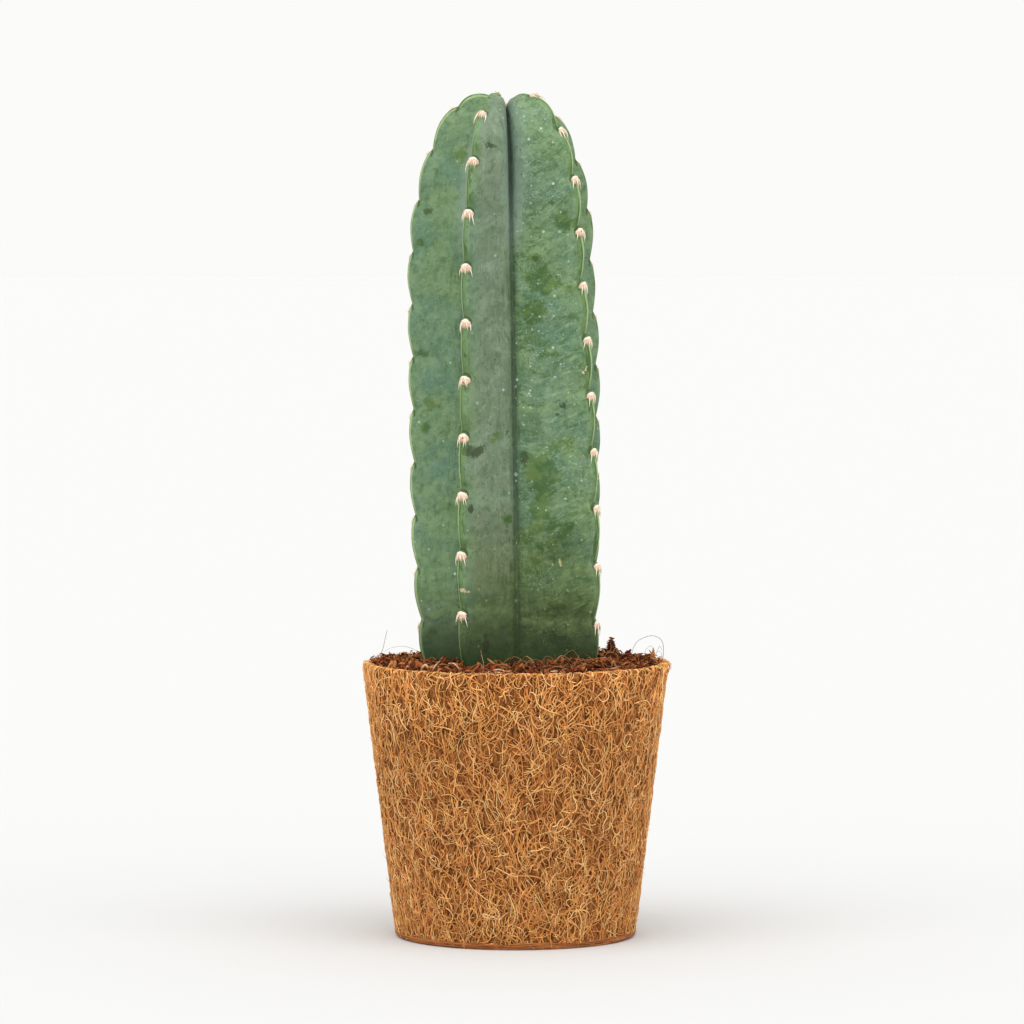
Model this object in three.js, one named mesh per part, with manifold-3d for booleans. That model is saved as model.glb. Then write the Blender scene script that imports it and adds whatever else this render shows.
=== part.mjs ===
// A tall ribbed cactus growing in a pot of matted coconut fibre.
//
// Millimetres, +Z up. The origin is the middle of the pot's underside, so the plant stands on
// the plane z = 0 with its front towards -Y. A heading is an angle about Z in degrees, counted
// from the front (-Y) and positive towards +X.

import * as THREE from 'three';
import { LoftGeometry } from 'three/addons/geometries/LoftGeometry.js';
import { mergeVertices } from 'three/addons/utils/BufferGeometryUtils.js';
import Module from 'manifold-3d';

const wasm = await Module();
wasm.setup();

// ---------------------------------------------------------------- driving dimensions

const POT = {
  rimRadius: 65,
  footRadius: 51,
  height: 117,
  wall: 4.5,
  floor: 6,
  footRounding: 2.5,
  rimRounding: 1.4,
  columns: 80,
  wallRows: 10,
  matting: 0.4,          // how far the matted fibres rise and sink
};

const STEM = {
  top: 359.5,
  shoulder: 272,          // where the dome ends and the upright column begins
  buried: 78,             // the end that stands in the growing medium
  crestRadius: 42,        // nominal, for lengths along a crest
  grooveRadius: 18.5,
  crownRadius: 10.7,      // ring of crest tops round the sunken growing point
  crownDepth: 10,
  crownGroove: 2.5,       // how near the grooves come to the middle in the crown
  grooveDrop: 10,         // grooves lie this much lower than the crests at the crown
  waist: 205,             // below this height the column narrows towards the soil
  waistShare: 0.09,
  buriedNarrowing: 0.7,   // how far the buried end closes in, squared
  swingFrom: 250,         // ribs keep their headings here and swing below and above
  swingHeight: 120,
  swingAbove: 0.45,       // the crown swings back by this share
  lean: 0.0162,           // sideways per unit of height, towards -X
  leanStart: 0.65,
  notch: 2.2,             // depth of the notch over each areole
  notchOver: 0.14,        // how far over its areole, as a share of the pitch
  crestRounding: 0.12,    // share of a flank taken up by the rounded crest
  bluntness: 0.92,        // power of the dome's sine and cosine: 1 is an ellipse, less is blunter
  fullness: 0.12,         // 0 for straight flanks, 1 for ribs that press together
  domeFrom: 300,          // over these heights each rib takes the form that it has in the crown
  domeTo: 345,
  hollowAt: 285,          // some ribs are drawn in round this height
  hollowReach: 24,
};

// One entry a rib. Its form: where its crest points, how far it swings at the foot, the crest's
// radius, the share of the way to the next crest at which the groove lies, the share by which the
// shoulder is drawn in, and in the crown how full that groove's flanks are, the crest's share of
// its radius and how much lower it lies. Its areoles: the first one's length along the crest from
// the middle of the crown, their pitch, how the pitch grows, and how many there are.
const RIBS = [
  {
    heading: -100, swing: 5, crest: 43.8, groove: 0.52, hollow: 0, pressed: 0.12, dome: 0.975, lower: 0,
    first: 31.1, pitch: 22.5, stretch: 0, count: 11,
  },
  {
    heading: -27, swing: -8, crest: 42.0, groove: 0.376, hollow: 0, pressed: 0.8, dome: 1, lower: 0,
    first: 34.9, pitch: 22.0, stretch: 0.2, count: 10,
  },
  {
    heading: 58, swing: 12, crest: 41.3, groove: 0.5, hollow: 0.045, pressed: 0.3, dome: 1.04, lower: 0,
    first: 21.6, pitch: 21.5, stretch: 0.18, count: 11,
  },
  {
    heading: 112, swing: 6, crest: 42.2, groove: 0.5, hollow: 0.05, pressed: 0.5, dome: 0.97, lower: 1,
    first: 34.9, pitch: 22.4, stretch: 0, count: 10,
  },
  {
    heading: 188, swing: 0, crest: 41.8, groove: 0.5, hollow: 0, pressed: 0.5, dome: 1, lower: 3.5,
    first: 29.0, pitch: 22.2, stretch: 0.05, count: 11,
  },
];

const AREOLE = { width: 2.4, height: 1.9, depth: 0.95, youngScale: 0.65 };
const SPINE = {
  length: 3.6,
  radius: 0.5,
  sides: 3,
  fan: [-20, 0, 20],
  lift: 21,
  spread: 4.2,            // how far apart the roots stand, a radian of the fan
  root: 0.5,
  rootHeight: 0.5,
};

const SOIL = {
  gap: 0.3,               // to the pot
  stemGap: 0.6,           // to the stem, counted outwards from the stem's axis
  wallHeight: 115.4,
  mound: 4.0,             // rise from the wall to the stem
  rightMound: 2.2,        // further rise on the +X side
  lumps: 0.8,
};
const CHIP = {
  rings: [56, 49.5, 43],
  spacing: 9.6,
  length: [6, 9.5],
  width: [3.4, 5.2],
  height: [1.2, 2.4],
  unevenness: [0.75, 1.2],
  tilt: [-28, 28],
  scatter: [-2, 2],
};
const STRAND = { count: 9, radius: 0.7, sides: 4, ring: [47, 55], span: [9, 16], rise: [1.8, 3.2] };
const CLOD = { x: 45, y: 6, radius: 4.2, height: 5.5 };

// ---------------------------------------------------------------- small helpers

const radians = THREE.MathUtils.degToRad;
const smoothstep = THREE.MathUtils.smoothstep;
const lerp = THREE.MathUtils.lerp;

// The same run of numbers between 0 and 1 every time.
function seededRandom(seed) {
  let state = seed;
  return () => {
    state = (state + 0x6d2b79f5) | 0;
    let mixed = Math.imul(state ^ (state >>> 15), 1 | state);
    mixed = (mixed + Math.imul(mixed ^ (mixed >>> 7), 61 | mixed)) ^ mixed;
    return ((mixed ^ (mixed >>> 14)) >>> 0) / 4294967296;
  };
}

function pick(random, [low, high]) {
  return lerp(low, high, random());
}

// A point at a heading and a distance from the Z axis.
function atHeading(heading, radius, z) {
  const angle = radians(heading);
  return new THREE.Vector3(radius * Math.sin(angle), -radius * Math.cos(angle), z);
}

// Closed geometry with shared corners and no slivers of zero area.
function welded(geometry) {
  const bare = new THREE.BufferGeometry();
  bare.setAttribute('position', geometry.attributes.position);
  bare.setIndex(geometry.index);
  const merged = mergeVertices(bare, 1e-4);
  const faces = [];
  const index = merged.index.array;
  for (let i = 0; i < index.length; i += 3) {
    const [a, b, c] = [index[i], index[i + 1], index[i + 2]];
    if (a !== b && b !== c && c !== a) faces.push(a, b, c);
  }
  merged.setIndex(faces);
  return merged;
}

function solidOf(geometry) {
  const merged = welded(geometry);
  return new wasm.Manifold(new wasm.Mesh({
    numProp: 3,
    vertProperties: new Float32Array(merged.attributes.position.array),
    triVerts: new Uint32Array(merged.index.array),
  }));
}

function geometryOf(solid) {
  const mesh = solid.getMesh();
  const geometry = new THREE.BufferGeometry();
  geometry.setAttribute('position', new THREE.BufferAttribute(mesh.vertProperties, 3));
  geometry.setIndex(new THREE.BufferAttribute(mesh.triVerts, 1));
  geometry.computeVertexNormals();
  return geometry;
}

function joined(solids) {
  return solids.reduce((whole, solid) => whole.add(solid));
}

// The largest of the bodies that a cut leaves.
function mainBody(solid) {
  return solid.decompose().reduce((best, body) => (body.volume() > best.volume() ? body : best));
}

function namedMesh(name, geometry, color, roughness) {
  const material = new THREE.MeshStandardMaterial({ color, roughness, metalness: 0, flatShading: true });
  const mesh = new THREE.Mesh(geometry, material);
  mesh.name = name;
  return mesh;
}

// ---------------------------------------------------------------- cactus

// The nominal crest from the middle of the crown down to the buried end, as (radius, height):
// a quarter ellipse up out of the crown, a blunter quarter over the dome, then straight down.
function crestCurve() {
  const path = new THREE.CurvePath();
  const crownBottom = STEM.top - STEM.crownDepth;
  const dome = [];
  for (let degrees = 0; degrees <= 90; degrees += 3) {
    const outShare = Math.sin(radians(degrees)) ** STEM.bluntness;
    const upShare = Math.cos(radians(degrees)) ** STEM.bluntness;
    dome.push(new THREE.Vector2(
      lerp(STEM.crownRadius, STEM.crestRadius, outShare), lerp(STEM.shoulder, STEM.top, upShare)));
  }
  path.add(new THREE.EllipseCurve(
    STEM.crownRadius, crownBottom, STEM.crownRadius, STEM.crownDepth, Math.PI, Math.PI / 2, true));
  path.add(new THREE.SplineCurve(dome));
  path.add(new THREE.LineCurve(
    new THREE.Vector2(STEM.crestRadius, STEM.shoulder), new THREE.Vector2(STEM.crestRadius, STEM.buried)));
  return path;
}

const CREST = crestCurve();
const CREST_LENGTH = CREST.getLength();

function crestAt(length) {
  return CREST.getPoint(THREE.MathUtils.clamp(length / CREST_LENGTH, 0, 1));
}

// The groove's (radius, height) beside a crest point: lower and much nearer the axis.
function grooveAt(crest) {
  if (crest.y <= STEM.shoulder) return new THREE.Vector2(STEM.grooveRadius, crest.y);
  const crownHeight = STEM.top - STEM.grooveDrop;
  if (crest.x <= STEM.crownRadius) {
    return new THREE.Vector2(STEM.crownGroove * crest.x / STEM.crownRadius, crownHeight);
  }
  const overDome = (crest.x - STEM.crownRadius) / (STEM.crestRadius - STEM.crownRadius);
  const radius = lerp(STEM.crownGroove, STEM.grooveRadius, overDome);
  const rise = (crest.y - STEM.shoulder) / (STEM.top - STEM.shoulder);
  return new THREE.Vector2(radius, lerp(STEM.shoulder, crownHeight, rise));
}

// The column's width at a height, as a share of its full width: it narrows towards the soil and
// rounds off towards the buried end.
function widthShare(z) {
  const reach = Math.max(0, STEM.waist - z) / (STEM.waist - POT.height);
  if (reach <= 1) return 1 - STEM.waistShare * reach ** 2.5;
  const down = (POT.height - z) / (POT.height - STEM.buried);
  return (1 - STEM.waistShare) * Math.sqrt(1 - STEM.buriedNarrowing * down ** 2);
}

// A crest's heading at a height. The ribs swing apart towards the foot.
function crestHeading(rib, z) {
  const below = Math.max(0, STEM.swingFrom - z) / STEM.swingHeight;
  const above = Math.max(0, z - STEM.swingFrom) / STEM.swingHeight;
  return rib.heading + rib.swing * (below - STEM.swingAbove * above);
}

// How many areoles down the rib a length along the crest is; the first areole is number 1.
function areoleCount(rib, length) {
  const past = length - rib.first;
  const root = Math.sqrt(Math.max(0, rib.pitch ** 2 + 4 * rib.stretch * past));
  return 1 + 2 * past / (rib.pitch + root);
}

function areoleLength(rib, number) {
  const step = number - 1;
  return rib.first + rib.pitch * step + rib.stretch * step ** 2;
}

// Depth of the notches along a crest. Just over each areole it is deepest; below the areole the
// rib swells out quickly, then slopes back in more slowly to the next notch.
function notchDepth(rib, length) {
  const swellOver = 0.14;
  const slopeFrom = 0.45;
  const place = areoleCount(rib, length) + STEM.notchOver;
  const share = place - Math.floor(place);
  const dip = Math.exp(-share / swellOver)
    + Math.max(0, (share - slopeFrom) / (1 - slopeFrom)) ** 1.6;
  return STEM.notch * dip * smoothstep(length, 12, 30);
}

// A point of the stem's skin. `share` runs from 0 at a rib's crest to 1 at the next rib's crest,
// `length` runs down the crest from the middle of the crown, and `outwards` moves the skin away
// from the axis.
function stemPoint(index, share, length, outwards = 0) {
  const rib = RIBS[index];
  const next = RIBS[(index + 1) % RIBS.length];
  const nearer = share <= rib.groove ? rib : next;
  const flankShare = share <= rib.groove ? rib.groove : 1 - rib.groove;
  const across = share <= rib.groove ? share / flankShare : (1 - share) / flankShare;

  const crest = crestAt(length);
  const groove = grooveAt(crest);
  const heading = crestHeading(rib, crest.y);
  const turn = (index + 1 < RIBS.length ? 0 : 360) + crestHeading(next, crest.y) - heading;
  const flankAngle = radians(turn * flankShare);

  const over = smoothstep(crest.y, STEM.domeFrom, STEM.domeTo);
  const width = widthShare(crest.y);
  const drawnIn = nearer.hollow * Math.exp(-(((crest.y - STEM.hollowAt) / STEM.hollowReach) ** 2));
  const form = lerp(1, nearer.dome, over) * (1 - drawnIn);
  const crestRadius = crest.x * width * form * nearer.crest / STEM.crestRadius;
  const grooveRadius = groove.x * width;
  const crestHeight = crest.y - nearer.lower * over * Math.min(1, crest.x / STEM.crownRadius);

  // rounded crest, then a nearly straight flank that fills out where the dome's ribs press together
  const rounding = STEM.crestRounding;
  const eased = (Math.hypot(across, rounding) - rounding) / (Math.hypot(1, rounding) - rounding);
  const flank = crestRadius * grooveRadius * Math.sin(flankAngle)
    / (crestRadius * Math.sin(eased * flankAngle) + grooveRadius * Math.sin((1 - eased) * flankAngle) || 1);
  const full = lerp(crestRadius, grooveRadius, eased ** 6);
  const radius = lerp(flank, full, lerp(STEM.fullness, rib.pressed, over));
  const weight = crestRadius > grooveRadius ? (radius - grooveRadius) / (crestRadius - grooveRadius) : 0;

  const ahead = crestAt(length + 1).sub(crestAt(length - 1)).normalize();
  const notch = notchDepth(nearer, length) * (1 - across) ** 1.6;
  const reach = Math.max(0, radius + notch * ahead.y) + outwards * Math.min(1, length);
  const z = lerp(groove.y, crestHeight, weight) - notch * ahead.x;
  const point = atHeading(heading + share * turn, reach, z);
  point.x -= STEM.leanStart + STEM.lean * (z - POT.height);
  return point;
}

// Sections of the stem from the buried end to the crown. Every rib carries its own count of
// areoles, so a section climbs and falls from rib to rib to pass through all its notches.
function stemSections(outwards) {
  const numbers = [];
  for (let number = 12; number >= 1; number--) {
    for (const step of [0.5, 0.1, -STEM.notchOver]) numbers.push(number + step);
  }
  const lastNumber = numbers[0];
  numbers.push(0.66, 0.46, 0.3, 0.16, 0);
  const lengthAt = (rib, number) => (number < 1 - STEM.notchOver
    ? areoleLength(rib, 1 - STEM.notchOver) * number / (1 - STEM.notchOver)
    : areoleLength(rib, number));
  const buriedRows = [1, 0.55].map((share) => (rib) => (
    lerp(areoleLength(rib, lastNumber), CREST_LENGTH, share)));
  const rows = [...buriedRows, ...numbers.map((number) => (rib) => lengthAt(rib, number))];

  const halfColumns = [0, 0.12, 0.36, 0.7];
  return rows.map((lengthOn) => {
    const section = [];
    RIBS.forEach((rib, index) => {
      const next = RIBS[(index + 1) % RIBS.length];
      const shares = [
        ...halfColumns.map((t) => t * rib.groove), rib.groove,
        ...halfColumns.slice(1).reverse().map((t) => 1 - t * (1 - rib.groove)),
      ];
      for (const share of shares) {
        const length = lerp(lengthOn(rib), lengthOn(next), share);
        section.push(stemPoint(index, share, Math.min(length, CREST_LENGTH), outwards));
      }
    });
    return section;
  });
}

function stemBody(outwards = 0) {
  return solidOf(new LoftGeometry(stemSections(outwards), { capStart: true }));
}

// The areole at a length along a crest: its place and the directions across the rib, down the
// crest and out of the skin, as one matrix.
function areoleFrame(index, length) {
  const place = stemPoint(index, 0, length);
  const heading = crestHeading(RIBS[index], place.z);
  const slope = crestAt(length + 1).sub(crestAt(length - 1)).normalize();
  const radial = atHeading(heading, 1, 0);
  const down = radial.clone().multiplyScalar(slope.x).setZ(slope.y);
  const out = radial.clone().multiplyScalar(-slope.y).setZ(slope.x);
  const across = new THREE.Vector3().crossVectors(down, out);
  return new THREE.Matrix4().makeBasis(across, down, out).setPosition(place);
}

// A pad of wool with a fan of short claws that hang down from it, in the areole's own frame.
function areoleSolids(frame, scale) {
  const pad = new THREE.IcosahedronGeometry(1, 0)
    .scale(AREOLE.width * scale, AREOLE.height * scale, AREOLE.depth * scale)
    .applyMatrix4(frame);
  const claws = SPINE.fan.map((angle) => new THREE.ConeGeometry(SPINE.radius, SPINE.length, SPINE.sides)
    .translate(0, SPINE.length / 2, 0)
    .rotateX(radians(SPINE.lift))
    .rotateZ(-radians(angle))
    .translate(SPINE.spread * radians(angle), SPINE.root, SPINE.rootHeight)
    .scale(scale, scale, scale)
    .applyMatrix4(frame));
  return [pad, ...claws].map(solidOf);
}

function cactusStem() {
  const solids = [stemBody()];
  RIBS.forEach((rib, index) => {
    for (let number = 1; number <= rib.count; number++) {
      solids.push(...areoleSolids(areoleFrame(index, areoleLength(rib, number)), 1));
    }
    solids.push(...areoleSolids(areoleFrame(index, areoleLength(rib, 0)), AREOLE.youngScale));
  });
  return namedMesh('cactus_stem', geometryOf(joined(solids)), 0x6f8f66, 0.55);
}

// ---------------------------------------------------------------- coconut-fibre pot

function outerRadius(z) {
  return lerp(POT.footRadius, POT.rimRadius, z / (POT.height - POT.rimRounding));
}

function innerRadius(z) {
  return outerRadius(z) - POT.wall;
}

// Outline from the middle of the underside, round the wall and back to the axis on the floor.
function potProfile() {
  const { footRounding: foot, rimRounding: rim, height, floor, wallRows } = POT;
  const profile = [new THREE.Vector2(0, 0)];
  for (const angle of [0, 45, 90]) {
    const z = foot * (1 - Math.cos(radians(angle)));
    profile.push(new THREE.Vector2(outerRadius(z) - foot * (1 - Math.sin(radians(angle))), z));
  }
  for (let row = 1; row < wallRows; row++) {
    const z = lerp(foot, height - rim, row / wallRows);
    profile.push(new THREE.Vector2(outerRadius(z), z));
  }
  for (const angle of [0, 45, 90]) {
    const z = height - rim * (1 - Math.sin(radians(angle)));
    profile.push(new THREE.Vector2(outerRadius(z) - rim * (1 - Math.cos(radians(angle))), z));
  }
  profile.push(new THREE.Vector2(innerRadius(height) + rim / 2, height));
  profile.push(new THREE.Vector2(innerRadius(height - rim), height - rim));
  profile.push(new THREE.Vector2(innerRadius(floor), floor));
  profile.push(new THREE.Vector2(0, floor));
  return profile;
}

// Rise and fall of the matted fibres over the outer wall, fading at the rim and the foot.
function mattingAt(heading, z) {
  const a = radians(heading);
  const waves = Math.sin(17 * a + 0.11 * z) + Math.sin(23 * a - 0.19 * z + 1.3)
    + Math.sin(9 * a + 0.31 * z + 4.1) + Math.sin(31 * a + 0.07 * z + 2.2);
  const fade = smoothstep(z, 4, 14) * (1 - smoothstep(z, POT.height - 12, POT.height - 3));
  return POT.matting * fade * waves / 2;
}

function coirPot() {
  const geometry = new THREE.LatheGeometry(potProfile(), POT.columns).rotateX(Math.PI / 2);
  const position = geometry.attributes.position;
  const point = new THREE.Vector3();
  for (let i = 0; i < position.count; i++) {
    point.fromBufferAttribute(position, i);
    const radius = Math.hypot(point.x, point.y);
    if (radius < outerRadius(point.z) - 0.01) continue;
    const heading = THREE.MathUtils.radToDeg(Math.atan2(point.x, -point.y));
    const moved = 1 + mattingAt(heading, point.z) / radius;
    position.setXYZ(i, point.x * moved, point.y * moved, point.z);
  }
  return namedMesh('coir_pot', geometryOf(solidOf(geometry)), 0xa76c3a, 0.95);
}

// ---------------------------------------------------------------- growing medium

// Height of the medium: level with the wall's top edge, mounded up against the stem.
function soilHeight(x, y) {
  const radius = Math.hypot(x, y);
  const rise = 1 - smoothstep(radius, 36, 60);
  const lumps = Math.sin(0.31 * x + 0.7) * Math.cos(0.27 * y - 0.4) + 0.6 * Math.sin(0.52 * x - 0.43 * y);
  return SOIL.wallHeight + SOIL.mound * rise + SOIL.rightMound * rise * smoothstep(x, -10, 40)
    + SOIL.lumps * lumps * (1 - smoothstep(radius, 54, 60));
}

function soilPlug() {
  const columns = POT.columns / 2;
  const headings = Array.from({ length: columns }, (_, column) => 360 * column / columns);
  const floor = POT.floor + SOIL.gap;
  const edge = innerRadius(SOIL.wallHeight) - SOIL.gap;
  const sections = [headings.map((heading) => atHeading(heading, innerRadius(floor) - SOIL.gap, floor))];
  for (const share of [1, 0.9, 0.78, 0.66, 0]) {
    sections.push(headings.map((heading) => {
      const point = atHeading(heading, edge * share, 0);
      point.z = soilHeight(point.x, point.y);
      return point;
    }));
  }
  return solidOf(new LoftGeometry(sections, { capStart: true }));
}

// A crumb of coconut husk: an uneven flattened block.
function huskChip(random, x, y) {
  const block = welded(new THREE.OctahedronGeometry(0.5, 0));
  const position = block.attributes.position;
  for (let i = 0; i < position.count; i++) {
    const grow = pick(random, CHIP.unevenness);
    position.setXYZ(i, position.getX(i) * grow, position.getY(i) * grow, position.getZ(i) * grow);
  }
  const height = pick(random, CHIP.height);
  block.scale(pick(random, CHIP.length), pick(random, CHIP.width), height * 2);
  block.rotateX(radians(pick(random, CHIP.tilt)));
  block.rotateY(radians(pick(random, CHIP.tilt)));
  block.rotateZ(radians(pick(random, [0, 360])));
  return solidOf(block.translate(x, y, soilHeight(x, y) + 0.1 * height));
}

function huskChips() {
  const random = seededRandom(4107);
  const chips = [];
  for (const ring of CHIP.rings) {
    const count = Math.round(2 * Math.PI * ring / CHIP.spacing);
    for (let i = 0; i < count; i++) {
      const heading = 360 * (i + pick(random, [-0.3, 0.3])) / count;
      const { x, y } = atHeading(heading, ring + pick(random, CHIP.scatter), 0);
      chips.push(huskChip(random, x, y));
    }
  }
  return chips;
}

// A root-like strand that arches out of the medium and dives back in.
function strands() {
  const random = seededRandom(911);
  const outline = new THREE.EllipseCurve(0, 0, STRAND.radius, STRAND.radius).getPoints(STRAND.sides);
  const section = new THREE.Shape(outline.slice(0, STRAND.sides));
  return Array.from({ length: STRAND.count }, (_, i) => {
    const heading = 360 * (i + pick(random, [-0.3, 0.3])) / STRAND.count;
    const middle = atHeading(heading, pick(random, STRAND.ring), 0);
    const half = pick(random, STRAND.span) / 2;
    const rise = pick(random, STRAND.rise);
    const along = atHeading(heading + pick(random, [60, 120]), 1, 0);
    const points = [-1, -0.5, 0, 0.5, 1].map((share) => {
      const point = middle.clone().addScaledVector(along, half * share);
      point.z = soilHeight(point.x, point.y) + rise * (1 - 1.9 * share ** 2);
      return point;
    });
    return solidOf(new THREE.ExtrudeGeometry(section, {
      steps: 5, bevelEnabled: false, extrudePath: new THREE.CatmullRomCurve3(points),
    }));
  });
}

// A clod of fibres that stands up against the stem on the right.
function clod() {
  const geometry = new THREE.IcosahedronGeometry(CLOD.radius, 0)
    .scale(1, 0.9, CLOD.height / CLOD.radius)
    .translate(CLOD.x, CLOD.y, soilHeight(CLOD.x, CLOD.y));
  return solidOf(geometry);
}

// The room inside the pot, open upwards, that nothing of the medium may leave.
function potRoom() {
  const floor = POT.floor + SOIL.gap;
  const rim = innerRadius(POT.height) - SOIL.gap;
  const profile = [
    new THREE.Vector2(0, floor - 1),
    new THREE.Vector2(innerRadius(floor) - SOIL.gap, floor - 1),
    new THREE.Vector2(innerRadius(floor) - SOIL.gap, floor),
    new THREE.Vector2(rim, POT.height),
    new THREE.Vector2(rim, POT.height + 30),
    new THREE.Vector2(0, POT.height + 30),
  ];
  return solidOf(new THREE.LatheGeometry(profile, POT.columns).rotateX(Math.PI / 2));
}

function growingMedium() {
  const heap = joined([soilPlug(), ...huskChips(), ...strands(), clod()]).intersect(potRoom());
  const medium = mainBody(heap.subtract(stemBody(SOIL.stemGap)));
  return namedMesh('growing_medium', geometryOf(medium), 0x7a4a2c, 1);
}

// ---------------------------------------------------------------- the potted plant

const pottedCactus = new THREE.Group();
pottedCactus.name = 'potted_cactus';
pottedCactus.add(coirPot(), growingMedium(), cactusStem());

export default pottedCactus;
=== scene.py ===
import math

import bpy
import numpy as np
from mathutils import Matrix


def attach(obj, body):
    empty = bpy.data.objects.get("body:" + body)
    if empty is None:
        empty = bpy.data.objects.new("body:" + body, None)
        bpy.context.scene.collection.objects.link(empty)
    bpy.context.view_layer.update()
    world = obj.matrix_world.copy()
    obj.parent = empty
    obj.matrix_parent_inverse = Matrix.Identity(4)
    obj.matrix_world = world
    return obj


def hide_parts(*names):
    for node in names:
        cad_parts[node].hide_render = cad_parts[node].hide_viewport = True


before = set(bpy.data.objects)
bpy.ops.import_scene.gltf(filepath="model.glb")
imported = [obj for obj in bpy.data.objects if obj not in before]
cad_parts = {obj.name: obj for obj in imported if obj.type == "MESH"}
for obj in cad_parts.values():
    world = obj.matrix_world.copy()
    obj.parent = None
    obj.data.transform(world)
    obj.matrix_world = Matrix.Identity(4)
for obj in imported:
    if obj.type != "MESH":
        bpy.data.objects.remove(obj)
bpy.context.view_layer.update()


# ---------------------------------------------------------------- skin of the cactus
# One upright stem that grew in one piece, with five deep ribs that press together over the
# crown. Its skin is dull, waxy and blue-green, worn to a fresher green along the crests, with a
# notch over each areole, growth lines across the flanks, stains, specks and a front valley whose
# flank is greyed by dust and a painted sheen.

MM = 0.001
CROWN_RADIUS, CROWN_DEPTH, CROWN_GROOVE = 10.7, 10.0, 2.5
CREST_RADIUS, GROOVE_RADIUS, GROOVE_DROP = 42.0, 18.5, 10.0
STEM_TOP, SHOULDER, BURIED_END, SOIL_LINE = 359.5, 272.0, 78.0, 117.0
WAIST, WAIST_SHARE, BURIED_NARROWING = 205.0, 0.09, 0.7
SWING_FROM, SWING_HEIGHT, SWING_ABOVE = 250.0, 120.0, 0.45
LEAN_START, LEAN = 0.65, 0.0162
NOTCH, NOTCH_OVER, NOTCH_DECAY = 2.2, 0.14, 0.14
NOTCHED_FROM, RELIEF_FROM, RELIEF_ENDS = (12, 30), (14, 40), (100, 118)
CREST_ROUNDING, FULLNESS, BLUNTNESS = 0.12, 0.12, 0.92
DOME_FROM, DOME_TO = 300.0, 345.0    # over these heights a rib takes its form in the crown
HOLLOW_AT, HOLLOW_REACH = 285.0, 24.0
CREST_STRIP = 1.5            # half the width of the fresher strip along a crest
LINE_TURN = 0.5              # how far across a flank a growth line stops climbing
FURROW, FURROW_REACH, DENTS = 0.08, 0.04, 0.9
LIP, LIP_REACH = 0.14, 0.45
PALE_DRIFT, DRIFT_FROM, DRIFT_TO = 0.7, 240.0, 190.0     # the pale edge of the rib with dust and painted sheen nears the crest
MARKED_FRONT = 12.0          # the marks are on the skin in front of this
SHADE_RING, AREOLE_PITCH = 2.9, 22.0     # the painted shade ring round the wool, and the areoles' usual pitch

# Each rib's heading from the front, its swing at the foot, its crest's radius, where the groove
# after it lies, how full that groove's flanks are in the crown, the crest's share of its radius
# there, how much the shoulder is drawn in, how much lower the crest lies in the crown, its first
# areole's place, the areoles' pitch, that pitch's growth and their number. Then how far its
# growth lines climb from the crest, and for the crest's pale edge on which side of the crest it
# lies, how far off it at an areole, and how much farther between two areoles.
RIB_HEADING = np.array([-100.0, -27.0, 58.0, 112.0, 188.0])
RIB_SWING = np.array([5.0, -8.0, 12.0, 6.0, 0.0])
RIB_CREST = np.array([43.8, 42.0, 41.3, 42.2, 41.8])
RIB_GROOVE = np.array([0.52, 0.376, 0.5, 0.5, 0.5])
RIB_PRESSED = np.array([0.12, 0.8, 0.3, 0.5, 0.5])
RIB_DOME = np.array([0.975, 1.0, 1.04, 0.97, 1.0])
RIB_HOLLOW = np.array([0.0, 0.0, 0.045, 0.05, 0.0])
RIB_LOWER = np.array([0.0, 0.0, 0.0, 1.0, 3.5])
RIB_FIRST = np.array([31.1, 34.9, 21.6, 34.9, 29.0])
RIB_PITCH = np.array([22.5, 22.0, 21.5, 22.4, 22.2])
RIB_STRETCH = np.array([0.0, 0.2, 0.18, 0.0, 0.05])
RIB_AREOLES = [11, 10, 11, 10, 11]
RIB_LINE = np.array([0.3, 0.25, -0.3, 0.25, 0.3])
RIB_PALE_SIDE = np.array([1, -1, 1, 1, -1])
RIB_PALE_AT = np.array([1.5, 1.5, -0.8, 0.3, 1.5])
RIB_PALE_BULGE = np.array([0.0, 0.2, 0.7, 1.0, 0.3])
# the rib whose flank is greyed by dust and a painted sheen, and the rib with the wet flank
DUST_AND_SHEEN_RIB, WET_RIB = 1, 2

# Marks seen from the front: across from the axis, height, half width, half height and strength.
# First where the bloom has worn off the green skin, then dark stains, then thicker, paler bloom,
# and last small dry scars and scratches.
WORN = np.array([
    [-23.2, 333, 4, 3.5, 0.9], [-38, 328, 4, 2.2, 0.8], [6.3, 329.6, 3, 2, 0.8],
    [1.6, 325, 2, 8, 1], [15.1, 313, 3, 2, 1], [19.8, 305.5, 4.5, 4.5, 1.1],
    [-38.5, 309.6, 4, 1.4, 0.8], [-41, 296, 2.4, 2, 1], [8.1, 290.2, 3.6, 1.8, 1.1],
    [11, 279, 9, 6, 1.2], [22.2, 277, 5, 3, 0.9], [8.1, 266.5, 6, 6, 1.3],
    [15, 249, 7, 1.6, 0.9], [-38.4, 248.5, 3.4, 2, 0.9], [-36.7, 227, 6, 4, 0.8],
    [-38.5, 217, 3.2, 2.6, 0.9], [-8.4, 214.4, 3, 5, 0.9], [20.4, 210, 8, 5, 0.8],
    [11.6, 198.5, 8, 11, 1.2], [10.4, 184, 7, 9, 1.1], [15, 171, 13, 11, 0.9],
    [-3.7, 179, 2.4, 2.8, 1], [17, 142, 5, 3, 1.2], [9, 158, 4, 5, 0.7],
    [18, 126, 14, 7, 0.9], [-36, 127, 6, 6, 0.7], [-27, 186, 3, 2, 0.6],
])
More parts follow.
